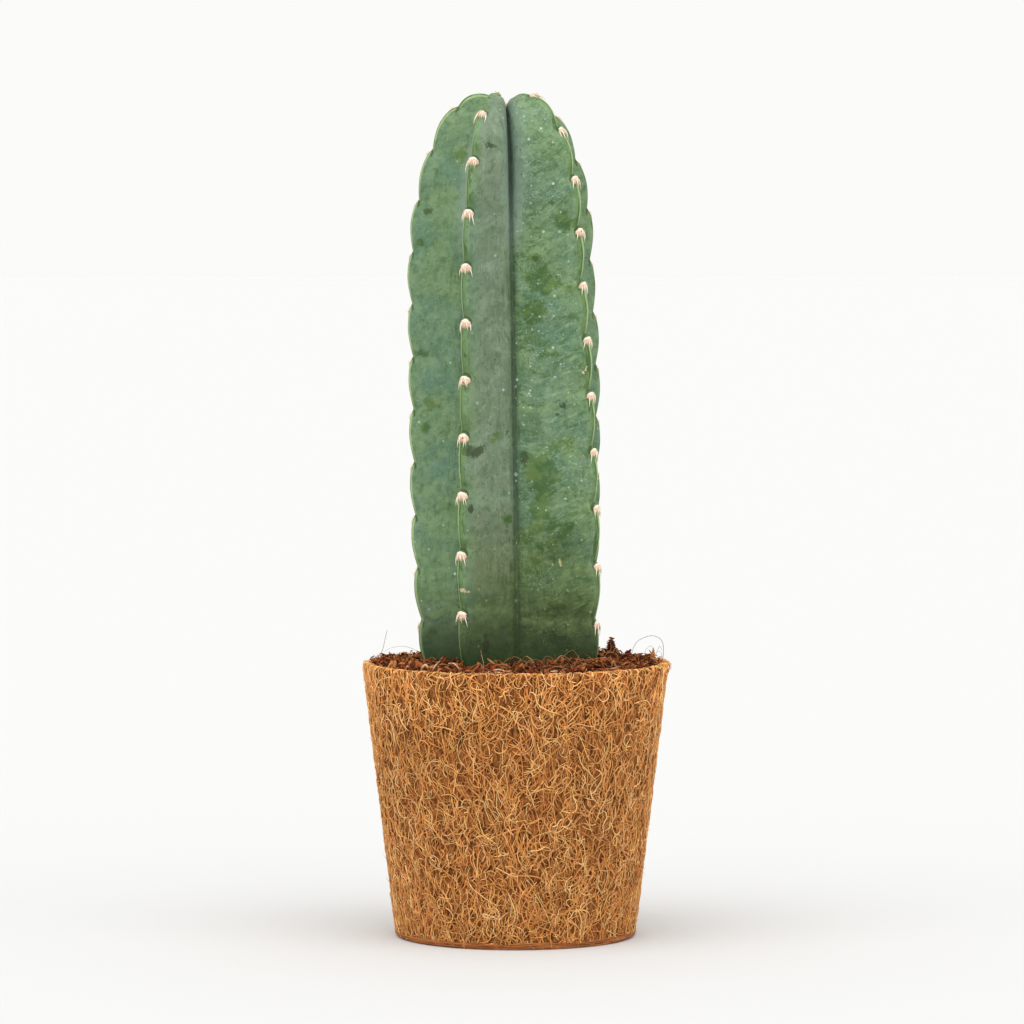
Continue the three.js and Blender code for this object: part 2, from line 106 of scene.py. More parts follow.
STAINED = np.array([
    [-11, 337, 4, 4, 0.6], [16.6, 238.5, 1.2, 1.1, 1.2], [19.6, 227, 1.5, 1.3, 1.2],
    [17.5, 223.8, 1.5, 0.8, 0.9], [-17, 208.5, 7.5, 2.6, 1.1], [3.4, 205.5, 2.2, 4.6, 1.1],
    [-19, 184.5, 1.4, 2.2, 1.3], [-11, 126, 13, 8, 0.55], [-38, 309, 2.6, 1, 0.9],
    [16.9, 141.6, 3.4, 1.6, 0.9], [4, 133, 4, 9, 0.5], [8.1, 290, 2, 1.2, 0.9],
])
PALE = np.array([
    [-18, 202.5, 3, 4, 1], [-13, 152, 9, 7, 0.8], [-7.5, 232, 5, 12, 0.5],
    [28, 205, 3.5, 5, 0.8], [14, 229, 9, 6, 0.5], [-9, 190, 5, 9, 0.7],
])
SCARS = np.array([
    [-22.4, 150.2, 1.5, 1.1, 1], [-20.2, 149.4, 1.6, 0.8, 0.9], [-15.7, 150.3, 0.8, 1.1, 0.8],
    [19, 161, 0.8, 2.6, 0.9], [3, 141, 1.7, 0.8, 0.6], [23.4, 269.5, 1.2, 0.8, 0.6],
    [28.7, 241.4, 0.8, 1, 0.9], [29.5, 242.6, 0.8, 1, 0.9], [30.3, 243.8, 0.8, 1, 0.9],
])


def smoothstep(x, low, high):
    """0 below low, 1 above high, and between them the share squared times three less twice it."""
    share = np.clip((x - low) / (high - low), 0, 1)
    return share * share * (3 - 2 * share)


def blend(a, b, share):
    """A share of the way from a to b."""
    return a + (b - a) * share


def around(radius, bearing, height):
    """Points at a distance from the axis, at a bearing turned from the front, and at a height."""
    x, y = radius * np.sin(bearing), -radius * np.cos(bearing)
    return np.stack(np.broadcast_arrays(x, y, height), -1)


def crest_table():
    """The nominal crest as (length, radius, height): a quarter ellipse up out of the crown, a
    blunter quarter over the dome, whose sine and cosine are raised to a power under one, then
    straight down to the buried end."""
    turn = np.linspace(0, math.pi / 2, 600)
    crown_r = CROWN_RADIUS * (1 - np.cos(turn))
    crown_z = STEM_TOP - CROWN_DEPTH * (1 - np.sin(turn))
    dome_r = blend(CROWN_RADIUS, CREST_RADIUS, np.sin(turn) ** BLUNTNESS)
    dome_z = blend(SHOULDER, STEM_TOP, np.cos(turn) ** BLUNTNESS)
    radius = np.concatenate([crown_r, dome_r[1:], [CREST_RADIUS]])
    height = np.concatenate([crown_z, dome_z[1:], [BURIED_END]])
    length = np.concatenate([[0], np.cumsum(np.hypot(np.diff(radius), np.diff(height)))])
    return length, radius, height


CREST_S, CREST_R, CREST_Z = crest_table()
CREST_LENGTH = CREST_S[-1]


def crest_at(length):
    """The nominal crest's radius and height at a length down it."""
    return np.interp(length, CREST_S, CREST_R), np.interp(length, CREST_S, CREST_Z)


def crest_slope(length):
    """The nominal crest's direction as (outwards, upwards), from two points 1 mm either side."""
    r0, z0 = crest_at(np.clip(length - 1, 0, CREST_LENGTH))
    r1, z1 = crest_at(np.clip(length + 1, 0, CREST_LENGTH))
    size = np.hypot(r1 - r0, z1 - z0)
    return (r1 - r0) / size, (z1 - z0) / size


def groove_at(radius, height):
    """The groove beside a crest point: upright in the column, and over the dome an ellipse that
    lies lower and runs in almost to the middle of the crown."""
    over = np.clip((radius - CROWN_RADIUS) / (CREST_RADIUS - CROWN_RADIUS), 0, 1)
    rise = np.clip((height - SHOULDER) / (STEM_TOP - SHOULDER), 0, 1)
    inside = np.clip(radius / CROWN_RADIUS, 0, 1)
    in_crown = radius < CROWN_RADIUS
    groove_r = np.where(in_crown, CROWN_GROOVE * inside, blend(CROWN_GROOVE, GROOVE_RADIUS, over))
    groove_z = np.where(in_crown, STEM_TOP - GROOVE_DROP,
                        blend(SHOULDER, STEM_TOP - GROOVE_DROP, rise))
    return groove_r, np.where(height <= SHOULDER, height, groove_z)


def width_share(height):
    """The column's width as a share of its full width: it narrows by a power of the way down to
    the soil, and the buried end by a root."""
    reach = np.clip((WAIST - height) / (WAIST - SOIL_LINE), 0, 1)
    down = np.clip((SOIL_LINE - height) / (SOIL_LINE - BURIED_END), 0, 1)
    return (1 - WAIST_SHARE * reach ** 2.5) * np.sqrt(1 - BURIED_NARROWING * down ** 2)


def crest_heading(rib, height):
    """A rib's heading in degrees: its own, and a swing that grows below and above mid-height."""
    below = np.clip(SWING_FROM - height, 0, None) / SWING_HEIGHT
    above = np.clip(height - SWING_FROM, 0, None) / SWING_HEIGHT
    return RIB_HEADING[rib] + RIB_SWING[rib] * (below - SWING_ABOVE * above)


def areole_number(rib, length):
    """Which areole a length down a rib is at, the first being 1: the inverse of the next."""
    past = length - RIB_FIRST[rib]
    root = np.sqrt(np.clip(RIB_PITCH[rib] ** 2 + 4 * RIB_STRETCH[rib] * past, 0, None))
    return 1 + 2 * past / (RIB_PITCH[rib] + root)


def areole_length(rib, number):
    """An areole's place down its rib: the first's, a pitch for each more, and a square term."""
    step = number - 1
    return RIB_FIRST[rib] + RIB_PITCH[rib] * step + RIB_STRETCH[rib] * step ** 2


def notch_depth(rib, length):
    """Deepest just over each areole: a decay within a seventh of the pitch below the notch, and
    from the middle of the rib's bulge a power that slopes in to the next one."""
    place = areole_number(rib, length) + NOTCH_OVER
    share = place - np.floor(place)
    dip = np.exp(-share / NOTCH_DECAY) + np.clip((share - 0.45) / 0.55, 0, None) ** 1.6
    return NOTCH * dip * smoothstep(length, *NOTCHED_FROM)


def growth_place(rib, number, across):
    """A count that is whole on each growth line: the line leaves the rib's notch, climbs or falls
    by the rib's share of a pitch by an S-curve and then runs level to the groove."""
    return number + NOTCH_OVER + RIB_LINE[rib] * smoothstep(across, 0.02, LINE_TURN)


def stem_skin(rib, share, length):
    """Points of the skin. Share runs from one crest to the next, length down the crest. A
    point's distance from the axis blends a straight flank and a full one, both between the
    crest's and the groove's radius, and its height blends theirs in step. Also returns how far
    across the flank it is, the nearer rib, and whether that is the first of the two."""
    after = (rib + 1) % len(RIB_HEADING)
    first = share <= RIB_GROOVE[rib]
    nearer = np.where(first, rib, after)
    flank = np.where(first, RIB_GROOVE[rib], 1 - RIB_GROOVE[rib])
    across = np.where(first, share, 1 - share) / flank

    crest_r, crest_z = crest_at(length)
    groove_r, groove_z = groove_at(crest_r, crest_z)
    heading = crest_heading(rib, crest_z)
    turn = (crest_heading(after, crest_z) - heading) % 360
    angle = np.radians(turn * flank)
    width = width_share(crest_z)
    over = smoothstep(crest_z, DOME_FROM, DOME_TO)
    drawn_in = RIB_HOLLOW[nearer] * np.exp(-((crest_z - HOLLOW_AT) / HOLLOW_REACH) ** 2)
    form = blend(1, RIB_DOME[nearer], over) * (1 - drawn_in)
    crest_z = crest_z - RIB_LOWER[nearer] * over * np.clip(crest_r / CROWN_RADIUS, 0, 1)
    crest_r = crest_r * width * form * RIB_CREST[nearer] / CREST_RADIUS
    groove_r = groove_r * width

    rounding = CREST_ROUNDING
    eased = (np.hypot(across, rounding) - rounding) / (math.hypot(1, rounding) - rounding)
    straight = crest_r * groove_r * np.sin(angle) / np.maximum(
        crest_r * np.sin(eased * angle) + groove_r * np.sin((1 - eased) * angle), 1e-9)
    full = blend(crest_r, groove_r, eased ** 6)
    radius = blend(straight, full, blend(FULLNESS, RIB_PRESSED[rib], over))
    weight = np.clip((radius - groove_r) / np.maximum(crest_r - groove_r, 1e-9), 0, 1)

    # relief: the notch, a furrow along each growth line, slow dents and a lip beside the strip
    notch = notch_depth(nearer, length) * (1 - across) ** 1.6
    line = growth_place(nearer, areole_number(nearer, length), across)
    off_line = np.abs(line - np.round(line))
    furrow = FURROW * np.exp(-(off_line / FURROW_REACH) ** 2) * smoothstep(across, 0, 0.2)
    dents = np.sin(0.043 * length + 3.1 * nearer) * np.sin(0.071 * length + 5 * across + nearer)
    off_crest = across * crest_r * 0.8
    lip = LIP * np.exp(-((off_crest - CREST_STRIP) / LIP_REACH) ** 2)
    sunk = (furrow + DENTS * dents * across) * (1 - across) - lip
    sunk = notch + sunk * smoothstep(length, *RELIEF_FROM) * smoothstep(crest_z, *RELIEF_ENDS)

    out_r, out_z = crest_slope(length)
    radius = np.maximum(radius + sunk * out_z, 0)
    height = blend(groove_z, crest_z, weight) - sunk * out_r
    bearing = np.radians(heading + share * turn)
    lean = LEAN_START + LEAN * (height - SOIL_LINE)
    points = around(radius, bearing, height)
    points[..., 0] -= lean
    return points, across, nearer, first


def mesh_piece(name, material, points, face_sets, **values):
    """A smooth mesh at the origin, from points in millimetres and arrays of faces, each array's
    faces having as many corners as it has columns. Each named value is a number or a colour for
    every point, which the material reads by that name."""
    corners = np.concatenate([faces.ravel() for faces in face_sets]).astype(np.int32)
    sizes = np.concatenate([np.full(len(faces), faces.shape[1]) for faces in face_sets])
    mesh = bpy.data.meshes.new(name)
    mesh.vertices.add(len(points))
    mesh.vertices.foreach_set("co", (points * MM).astype(np.float32).ravel())
    mesh.loops.add(len(corners))
    mesh.loops.foreach_set("vertex_index", corners)
    mesh.polygons.add(len(sizes))
    mesh.polygons.foreach_set("loop_start", (np.cumsum(sizes) - sizes).astype(np.int32))
    mesh.polygons.foreach_set("use_smooth", np.ones(len(sizes), bool))
    mesh.update(calc_edges=True)
    for title, value in values.items():
        value = np.asarray(value, np.float32)
        if value.ndim == 1:
            mesh.attributes.new(title, "FLOAT", "POINT").data.foreach_set("value", value)
        else:
            opaque = np.concatenate([value, np.ones((len(value), 1), np.float32)], 1)
            layer = mesh.attributes.new(title, "FLOAT_COLOR", "POINT")
            layer.data.foreach_set("color", opaque.ravel())
    mesh.materials.append(material)
    piece = bpy.data.objects.new(name, mesh)
    bpy.context.scene.collection.objects.link(piece)
    return piece


def stem_piece(name, material, points, faces, **values):
    """A piece of the cactus: it stands for the CAD's stem, which it hides, and hangs from the root body.
    """
    piece = mesh_piece(name, material, points, faces, **values)
    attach(piece, "root")
    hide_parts("cactus_stem")


def grid_faces(rows, columns):
    """Four-cornered faces of a grid whose last column joins its first."""
    row, column = np.meshgrid(np.arange(rows - 1), np.arange(columns), indexing="ij")
    after = (column + 1) % columns
    here, below = row * columns, (row + 1) * columns
    corners = [here + column, below + column, below + after, here + after]
    return np.stack(corners, -1).reshape(-1, 4)


def pole_faces(ring, pole):
    """Three-cornered faces from each side of a ring of points to one point."""
    return np.stack([ring, np.roll(ring, -1), np.full(len(ring), pole)], -1)


def paint(red, green, blue):
    """A shader's linear colour, from one given as 0 to 255 by the sRGB curve."""
    share = np.array([red, green, blue]) / 255
    linear = np.where(share <= 0.04045, share / 12.92, ((share + 0.055) / 1.055) ** 2.4)
    return (*linear.tolist(), 1.0)


class Finish:
    """A procedural material. Its methods add nodes and return the output of the last one. The
    colour is built up in coats, each laid over the ones before it."""

    def __init__(self, name):
        self.material = bpy.data.materials.new(name)
        self.material.use_nodes = True
        self.tree = self.material.node_tree
        self.shader = self.tree.nodes["Principled BSDF"]
        self.at = self.node("TexCoord", "Object", {})
        self.coats = None

    def node(self, kind, output, inputs, **settings):
        node = self.tree.nodes.new("ShaderNode" + kind)
        for setting, value in settings.items():
            setattr(node, setting, value)
        for socket, value in inputs.items():
            self.feed(node.inputs[socket], value)
        return node.outputs[output]

    def feed(self, socket, value):
        if isinstance(value, bpy.types.NodeSocket):
            self.tree.links.new(value, socket)
        else:
            socket.default_value = value

    def value(self, name):
        return self.node("Attribute", "Fac", {}, attribute_name=name)

    def colour(self, name):
        return self.node("Attribute", "Color", {}, attribute_name=name)

    def place(self, x, y, z):
        return self.node("CombineXYZ", "Vector", {0: x, 1: y, 2: z})

    def stretched(self, x, y, z):
        return self.node("Mapping", "Vector", {"Vector": self.at, "Scale": (x, y, z)})

    def noise(self, size, detail=2.0, rough=0.5, at=None, distortion=0.0):
        inputs = {"Vector": at or self.at, "Scale": 1 / (size * MM), "Detail": detail,
                  "Roughness": rough, "Distortion": distortion}
        return self.node("TexNoise", "Fac", inputs)

    def cells(self, size, output="Distance", at=None):
        return self.node("TexVoronoi", output, {"Vector": at or self.at, "Scale": 1 / (size * MM)})

    def math(self, operation, *values):
        return self.node("Math", 0, dict(enumerate(values)), operation=operation)

    def times(self, *values):
        product = values[0]
        for value in values[1:]:
            product = self.math("MULTIPLY", product, value)
        return product

    def step(self, value, low, high):
        """0 at low and 1 at high, by an S-curve. High may be the smaller of the two."""
        inputs = {"Value": value, "From Min": low, "From Max": high}
        return self.node("MapRange", "Result", inputs, interpolation_type="SMOOTHSTEP")

    def hump(self, value, middle, reach):
        """1 at the middle, falling to 0 at the reach on either side."""
        return self.step(self.math("ABSOLUTE", self.math("SUBTRACT", value, middle)), reach, 0.0)

    def ragged(self, value, noise, width):
        """A value that a noise moves up and down."""
        return self.math("ADD", value, self.times(self.math("SUBTRACT", noise, 0.5), width))

    def mix(self, share, a, b, how="MIX"):
        inputs = {0: share, 6: a, 7: b}
        return self.node("Mix", 2, inputs, data_type="RGBA", blend_type=how)

    def coat(self, tint, *shares):
        """Lays a colour over the coats so far, as much of it as the product of the shares."""
        self.coats = self.mix(self.times(*shares), self.coats, tint)

    def bump(self, height, depth, after=None):
        inputs = {"Height": height, "Distance": depth * MM}
        if after:
            inputs["Normal"] = after
        return self.node("Bump", "Normal", inputs)

    def finish(self, roughness, normal=None, **fixed):
        self.feed(self.shader.inputs["Base Color"], self.coats)
        self.feed(self.shader.inputs["Roughness"], roughness)
        if normal:
            self.feed(self.shader.inputs["Normal"], normal)
        for socket, value in fixed.items():
            self.shader.inputs[socket.replace("_", " ")].default_value = value
        return self.material


def marks_at(x, z, marks):
    """The strongest of the marks at each point: a Gaussian of each mark's strength and size."""
    return np.max([strength * np.exp(-((x - mx) / half_x) ** 2 - ((z - mz) / half_z) ** 2)
                   for mx, mz, half_x, half_z, strength in marks], axis=0)


def skin_shape():
    """The skin's grid, denser beside the crests, with a pole in the crown and one underneath, and
    the values that its material reads at every point."""
    half = np.linspace(0, 1, 30, endpoint=False) ** 1.35
    shares = [np.concatenate([half * groove, [groove], 1 - half[:0:-1] * (1 - groove)])
              for groove in RIB_GROOVE]
    ribs = np.repeat(np.arange(len(shares)), [len(share) for share in shares])
    shares = np.concatenate(shares)
    # rows close together over the crown and down to the soil, and three for the buried end
    lengths = np.concatenate([np.linspace(0.8, 16, 22), np.linspace(16.8, 279, 300),
                              [288, 298, CREST_LENGTH]])
    rows, columns = len(lengths), len(ribs)
    rib = np.broadcast_to(ribs, (rows, columns))
    share = np.broadcast_to(shares, (rows, columns))
    length = np.broadcast_to(lengths[:, None], (rows, columns))
    points, across, nearer, first = stem_skin(rib, share, length)
    crest = stem_skin(nearer, np.zeros(rib.shape), length)[0]
    off_crest = np.linalg.norm(points - crest, axis=-1) * np.where(first, 1, -1)

    crown, foot = points[0].mean(0) - [0, 0, 0.3], points[-1].mean(0)
    last = (rows - 1) * columns
    top = pole_faces(np.arange(columns), rows * columns)
    under = pole_faces(np.arange(last, last + columns)[::-1], rows * columns + 1)
    every = np.concatenate([points.reshape(-1, 3), [crown, foot]])

    x, y, z = np.moveaxis(points, -1, 0)
    # where dust and a painted sheen grey the flank beside the front valley
    dust_and_sheen = ((nearer == DUST_AND_SHEEN_RIB) & first) * smoothstep(across, 0.02, 0.25)
    wet = ((nearer == WET_RIB) & ~first) * smoothstep(across, 0.0, 0.15) + 0.25 * ~first
    worn, stained, pale, scar = (
        np.where(y < MARKED_FRONT, marks_at(x, z, marks), usual)
        for marks, usual in ((WORN, 0.35), (STAINED, 0.1), (PALE, 0.2), (SCARS, 0.0)))
    number = areole_number(nearer, length)
    line = growth_place(nearer, number, across)
    place = number + NOTCH_OVER
    edge = RIB_PALE_AT[nearer] + RIB_PALE_BULGE[nearer] * np.abs(np.sin(math.pi * number))
    edge = edge - PALE_DRIFT * (nearer == DUST_AND_SHEEN_RIB) * smoothstep(-z, -DRIFT_FROM, -DRIFT_TO)
    pale_side = off_crest * RIB_PALE_SIDE[nearer] + CREST_STRIP - edge
    at_poles = {"across": 1, "line": 0.5, "place": 0.5}
    grids = {"across": across, "off_crest": off_crest, "pale_side": pale_side, "line": line,
             "place": place, "dust_and_sheen": dust_and_sheen, "wet": wet, "worn": worn, "stained": stained,
             "pale": pale, "scar": scar}
    values = {name: np.append(grid.ravel(), 2 * [at_poles.get(name, 0)]) for name, grid in grids.items()}
    return every, [grid_faces(rows, columns), top, under], values


def skin_finish():
    """Blue-green wax over green skin. Attributes carry what follows the ribs: how far across the
    flank, how far off the crest, the growth lines' count, and the places with dust and painted sheen, wet
    and marked."""
    m = Finish("waxy cactus skin")
    across, off_crest = m.value("across"), m.value("off_crest")
    dust_and_sheen, wet = m.value("dust_and_sheen"), m.value("wet")
    height = m.node("SeparateXYZ", "Z", {0: m.at})
    near_crest = m.step(across, 0.3, 0.2)
    upright = m.stretched(1, 1, 0.16)
    broad, medium = m.noise(24), m.noise(8, 3, 0.6)
    small, fine = m.noise(2.8, 3, 0.65), m.noise(0.8, 3, 0.6)

    # a place whose first axis runs along the growth lines and is drawn out fourfold
    line = m.value("line")
    flow = m.place(m.times(across, 8 * MM), m.times(line, AREOLE_PITCH * MM), m.times(off_crest, 0.3 * MM))
    wisps, smears = m.noise(1.7, 4, 0.65, flow, 0.6), m.noise(4.5, 4, 0.6, flow, 0.8)

    # the bloom: blue-green, greener in broad clouds, with a fine mottle
    m.coats = m.mix(m.step(broad, 0.36, 0.64), paint(84, 119, 94), paint(101, 131, 86))
    m.coat(paint(119, 146, 104), m.step(medium, 0.42, 0.66), 0.6)
    m.coat(paint(72, 110, 78), m.step(m.noise(6, 3, 0.6), 0.52, 0.7), 0.5)
    m.coat(paint(66, 100, 58), m.step(small, 0.52, 0.68), 0.35)
    m.coat(paint(128, 153, 120), m.step(small, 0.46, 0.32), 0.3)
    streaky = m.math("MULTIPLY_ADD", wet, 0.45, 0.25)
    m.coat(paint(138, 164, 128), m.step(wisps, 0.54, 0.68), streaky)
    m.coat(paint(64, 100, 50), m.step(smears, 0.46, 0.34), streaky)
    m.coat(paint(70, 104, 58), m.step(wisps, 0.42, 0.3), streaky)
    speckle = m.math("MULTIPLY_ADD", wet, 0.12, 0.12)
    m.coat(paint(142, 162, 124), m.step(fine, 0.5, 0.68), speckle)
    m.coat(paint(58, 88, 54), m.step(fine, 0.47, 0.32), speckle)

    # growth lines: a thin dark or pale line, and a ragged stain under some
    count = m.ragged(line, medium, 0.3)
    below = m.math("FRACT", count)
    patchy = m.step(medium, 0.46, 0.6)
    off_line = m.hump(m.math("PINGPONG", count, 0.5), 0.0, 0.045)
    drawn = m.math("MULTIPLY_ADD", wet, 0.3, 0.12)
    stained = m.step(m.noise(11, 3), 0.56, 0.66)
    m.coat(paint(122, 148, 92), m.step(below, 0.0, 0.04), m.step(below, 0.2, 0.05), patchy, 0.5)
    m.coat(paint(52, 84, 46), off_line, drawn, m.step(small, 0.4, 0.6))
    m.coat(paint(80, 108, 52), m.step(below, 0.0, 0.1), m.step(below, 0.42, 0.1), stained, 0.5)

    # the flank beside the front valley: greyer from a painted sheen over real dust, with pale and olive
    # upright scratches
    grey = m.mix(m.step(m.noise(9, 3, 0.6), 0.4, 0.62), paint(98, 116, 92), paint(114, 126, 106))
    valley = m.math("MAXIMUM", wet, dust_and_sheen)
    dust_and_sheen = m.times(dust_and_sheen, m.step(m.math("MULTIPLY_ADD", medium, 0.03, height), 0.152, 0.18))
    # painted sheen with dust: the grey laid over the flank beside the front valley
    m.coat(grey, dust_and_sheen, 0.7)
    streaks = m.noise(2.0, 4, 0.6, upright)
    olive = m.step(m.noise(10), 0.4, 0.6)
    m.coat(paint(72, 94, 50), m.step(streaks, 0.52, 0.62), m.step(across, 0.3, 0.7), olive, 0.75)
    m.coat(paint(134, 152, 124), m.step(streaks, 0.46, 0.34), dust_and_sheen, 0.35)
    m.coat(paint(128, 148, 122), m.step(smears, 0.5, 0.62), dust_and_sheen, 0.4)
    m.coat(paint(84, 108, 72), m.step(small, 0.54, 0.66), dust_and_sheen, 0.4)
    scratch = m.hump(m.noise(1.3, 2, 0.5, upright), 0.5, 0.03)
    m.coat(paint(152, 168, 140), scratch, m.step(m.noise(7), 0.46, 0.6), dust_and_sheen, 0.55)

    # marks with ragged edges: thicker bloom, bare green skin, then dark stains
    torn, mottle = m.noise(6, 6, 0.78), m.step(medium, 0.42, 0.58)
    for name, low, high, strength, tint, other in (
            ("pale", 0.4, 0.9, 0.55, paint(128, 148, 130), paint(120, 142, 112)),
            ("worn", 0.42, 0.8, 0.85, paint(50, 88, 26), paint(84, 112, 44)),
            ("stained", 0.45, 0.75, 0.85, paint(40, 56, 26), paint(52, 72, 34))):
        place = m.step(m.ragged(m.value(name), torn, 3.2), low, high)
        m.coat(m.mix(mottle, tint, other), place, strength)

    # the groove: painted shade darkening it on its way in, bluish grey in the crown, and a soft dark line
    # of painted shade at its bottom
    crown = m.step(height, 0.285, 0.31)
    m.coat(paint(64, 88, 62), m.step(across, 0.8, 1.0), 0.4)
    m.coat(paint(146, 166, 152), m.step(across, 0.6, 0.95), crown, 0.8)
    sway = m.math("MULTIPLY_ADD", m.noise(9, 2), 0.08, across)
    # painted shade: the dark line at the groove's bottom, faded out lower down
    m.coat(paint(48, 68, 48), m.step(sway, 0.93, 1.03), m.step(height, 0.13, 0.19), 0.6)

    # specks: pale dried drops and dark spots, most on the wet flank, and small dark pores
    wetness = m.math("MAXIMUM", wet, 0.27)
    for size, share, reach, tint, strength in (
            (2.2, 0.22, 0.19, paint(150, 176, 148), 0.7), (3.1, 0.2, 0.2, paint(168, 190, 166), 0.75),
            (5.2, 0.2, 0.15, paint(184, 204, 180), 0.85), (8.5, 0.16, 0.13, paint(160, 186, 168), 0.7)):
        wavy = m.ragged(m.cells(size), fine, 0.12)
        chance = m.node("SeparateColor", 0, {0: m.cells(size, "Color")})
        chosen = m.math("LESS_THAN", chance, m.math("MULTIPLY_ADD", wetness, share, 0.02))
        m.coat(tint, m.step(wavy, reach, reach * 0.5), chosen, strength)
    spots = m.step(m.math("ADD", m.cells(3.6), m.times(fine, 0.3)), 0.45, 0.3)
    spotted = m.math("MULTIPLY_ADD", wet, 0.35, 0.12)
    m.coat(paint(62, 96, 42), spots, m.step(broad, 0.4, 0.6), spotted)
    for size, share, reach in ((2.0, 0.2, 0.17), (4.2, 0.25, 0.13), (9.0, 0.3, 0.07)):
        place = m.node("Mapping", "Vector", {"Vector": m.at, "Location": (0.3, 0.1, size * 0.07)})
        chance = m.node("SeparateColor", 1, {0: m.cells(size, "Color", place)})
        chosen = m.math("LESS_THAN", chance, share)
        pore = m.step(m.cells(size, at=place), reach, reach * 0.35)
        m.coat(paint(36, 60, 36), pore, chosen, 0.7)

    # pale swirls and hairline scratches, most on the wet flank
    swirl = m.hump(m.noise(4.5, 2, 0.4, distortion=1.6), 0.5, 0.012)
    where = m.times(m.step(m.noise(13), 0.46, 0.6), m.math("MULTIPLY_ADD", wet, 0.5, 0.12))
    m.coat(paint(152, 178, 152), swirl, where, 1.45)

    # the crest: a fine pale edge, a dark green line beside it, then fresh green that fades out
    pale_side, off = m.value("pale_side"), m.math("ABSOLUTE", off_crest)
    runs = m.noise(3.6, 3, 0.6, m.stretched(1, 1, 0.35))
    young = m.step(height, 0.3, 0.345)
    fresh = m.times(m.step(pale_side, -1.5, 0.3), m.step(pale_side, 1.5, 1.1), near_crest)
    fresh_green = m.mix(young, paint(98, 128, 62), paint(112, 144, 82))
    m.coat(fresh_green, fresh, m.math("MULTIPLY_ADD", runs, 0.8, 0.25))
    m.coat(paint(48, 80, 26), m.hump(pale_side, 0.7, 0.7), near_crest, m.step(runs, 0.38, 0.52), 0.9)
    m.coat(paint(50, 84, 30), m.hump(pale_side, -0.7, 2.4), near_crest, m.step(runs, 0.54, 0.62), 0.85)
    broken = m.step(small, 0.2, 0.4)
    for middle, strength in ((CREST_STRIP, 1.0), (-CREST_STRIP, 0.12)):
        m.coat(paint(160, 186, 124), m.hump(pale_side, middle, 0.8), near_crest, broken, strength)

    # scars, dry and pale
    dry = m.mix(m.step(fine, 0.4, 0.6), paint(190, 166, 120), paint(232, 218, 186))
    m.coat(dry, m.step(m.ragged(m.value("scar"), fine, 0.4), 0.42, 0.56), 0.85)

    # over each areole: painted shade, dark green in the notch, and a darker line of painted shade close
    # round the wool's upper side
    over = m.math("SUBTRACT", m.math("FRACT", m.math("ADD", m.value("place"), 0.5 - NOTCH_OVER)), 0.5)
    notch = m.times(m.step(over, -0.42, -0.2), m.step(over, 0.0, -0.1), m.step(off, 4.2, 1.2))
    m.coat(paint(66, 96, 40), notch, near_crest, 0.5)
    beside = m.place(m.times(off, 1 / SHADE_RING), m.times(over, AREOLE_PITCH / SHADE_RING), 0.0)
    ring = m.hump(m.node("VectorMath", "Value", {0: beside}, operation="LENGTH"), 1.0, 0.3)
    # painted shade: the dark line just above the wool
    m.coat(paint(34, 54, 20), ring, m.step(over, 0.03, -0.03), near_crest, 0.85)

    # a last mottle all over, then darker skin lower down, darker still on the valley's flanks, and a dark
    # green band at the foot
    m.coat(paint(60, 88, 44), m.step(small, 0.5, 0.62), m.step(broad, 0.3, 0.5), 0.225)
    m.coat(paint(128, 152, 118), m.step(smears, 0.54, 0.66), 0.2)
    deep = m.mix(1.0, m.coats, paint(216, 214, 178), "MULTIPLY")
    m.coat(deep, valley, m.step(height, 0.2, 0.145))
    lower_down = m.step(m.ragged(height, medium, 0.03), 0.156, 0.124)
    m.coat(m.mix(1.0, m.coats, paint(194, 190, 164), "MULTIPLY"), lower_down)
    m.coat(paint(36, 62, 30), m.step(m.ragged(height, small, 0.02), 0.136, 0.118), 0.6)
    m.coat(paint(136, 160, 104), m.hump(pale_side, CREST_STRIP, 1.1), near_crest, lower_down, broken, 0.7)

    roughness = m.node("MapRange", "Result", {"Value": small, "From Min": 0.3, "From Max": 0.7,
                                              "To Min": 0.46, "To Max": 0.62})
    grain = m.bump(m.noise(0.9, 4, 0.65), 0.05)
    grain = m.bump(m.noise(5, 3, 0.5), 0.35, grain)
    grain = m.bump(m.noise(1.4, 2, 0.5, upright), 0.05, grain)
    return m.finish(roughness, grain, Specular_IOR_Level=0.42)


points, faces, values = skin_shape()
stem_piece("stem_skin", skin_finish(), points, faces, **values)


# ---------------------------------------------------------------- wool of the areoles
# At each areole, on the ledge under the rib's notch, a small pad of felted cream wool grows
# out of the skin. It is half a dome with a flat lower side, covered in short hairs.

PAD_WIDTH, PAD_UP, PAD_DOWN, PAD_DEPTH, PAD_SUNK = 2.5, 2.3, 1.9, 1.0, 0.2
CREST_WRAP = 0.2             # a pad falls away from the crest by this times the distance squared
PAD_WRAP = 1.35              # how far a pad's dome goes on round, past one for a half
PAD_ROUGHNESS, YOUNG_SCALE = 0.06, 0.65
HAIR_LENGTH, HAIR_ROOT, HAIR_TIP = (0.3, 0.7), 0.07, 0.03
RIB_ASIDE = np.array([1.5, 0.0, 0.0, -1.3, 0.0])     # how far beside the crest a rib's areoles sit


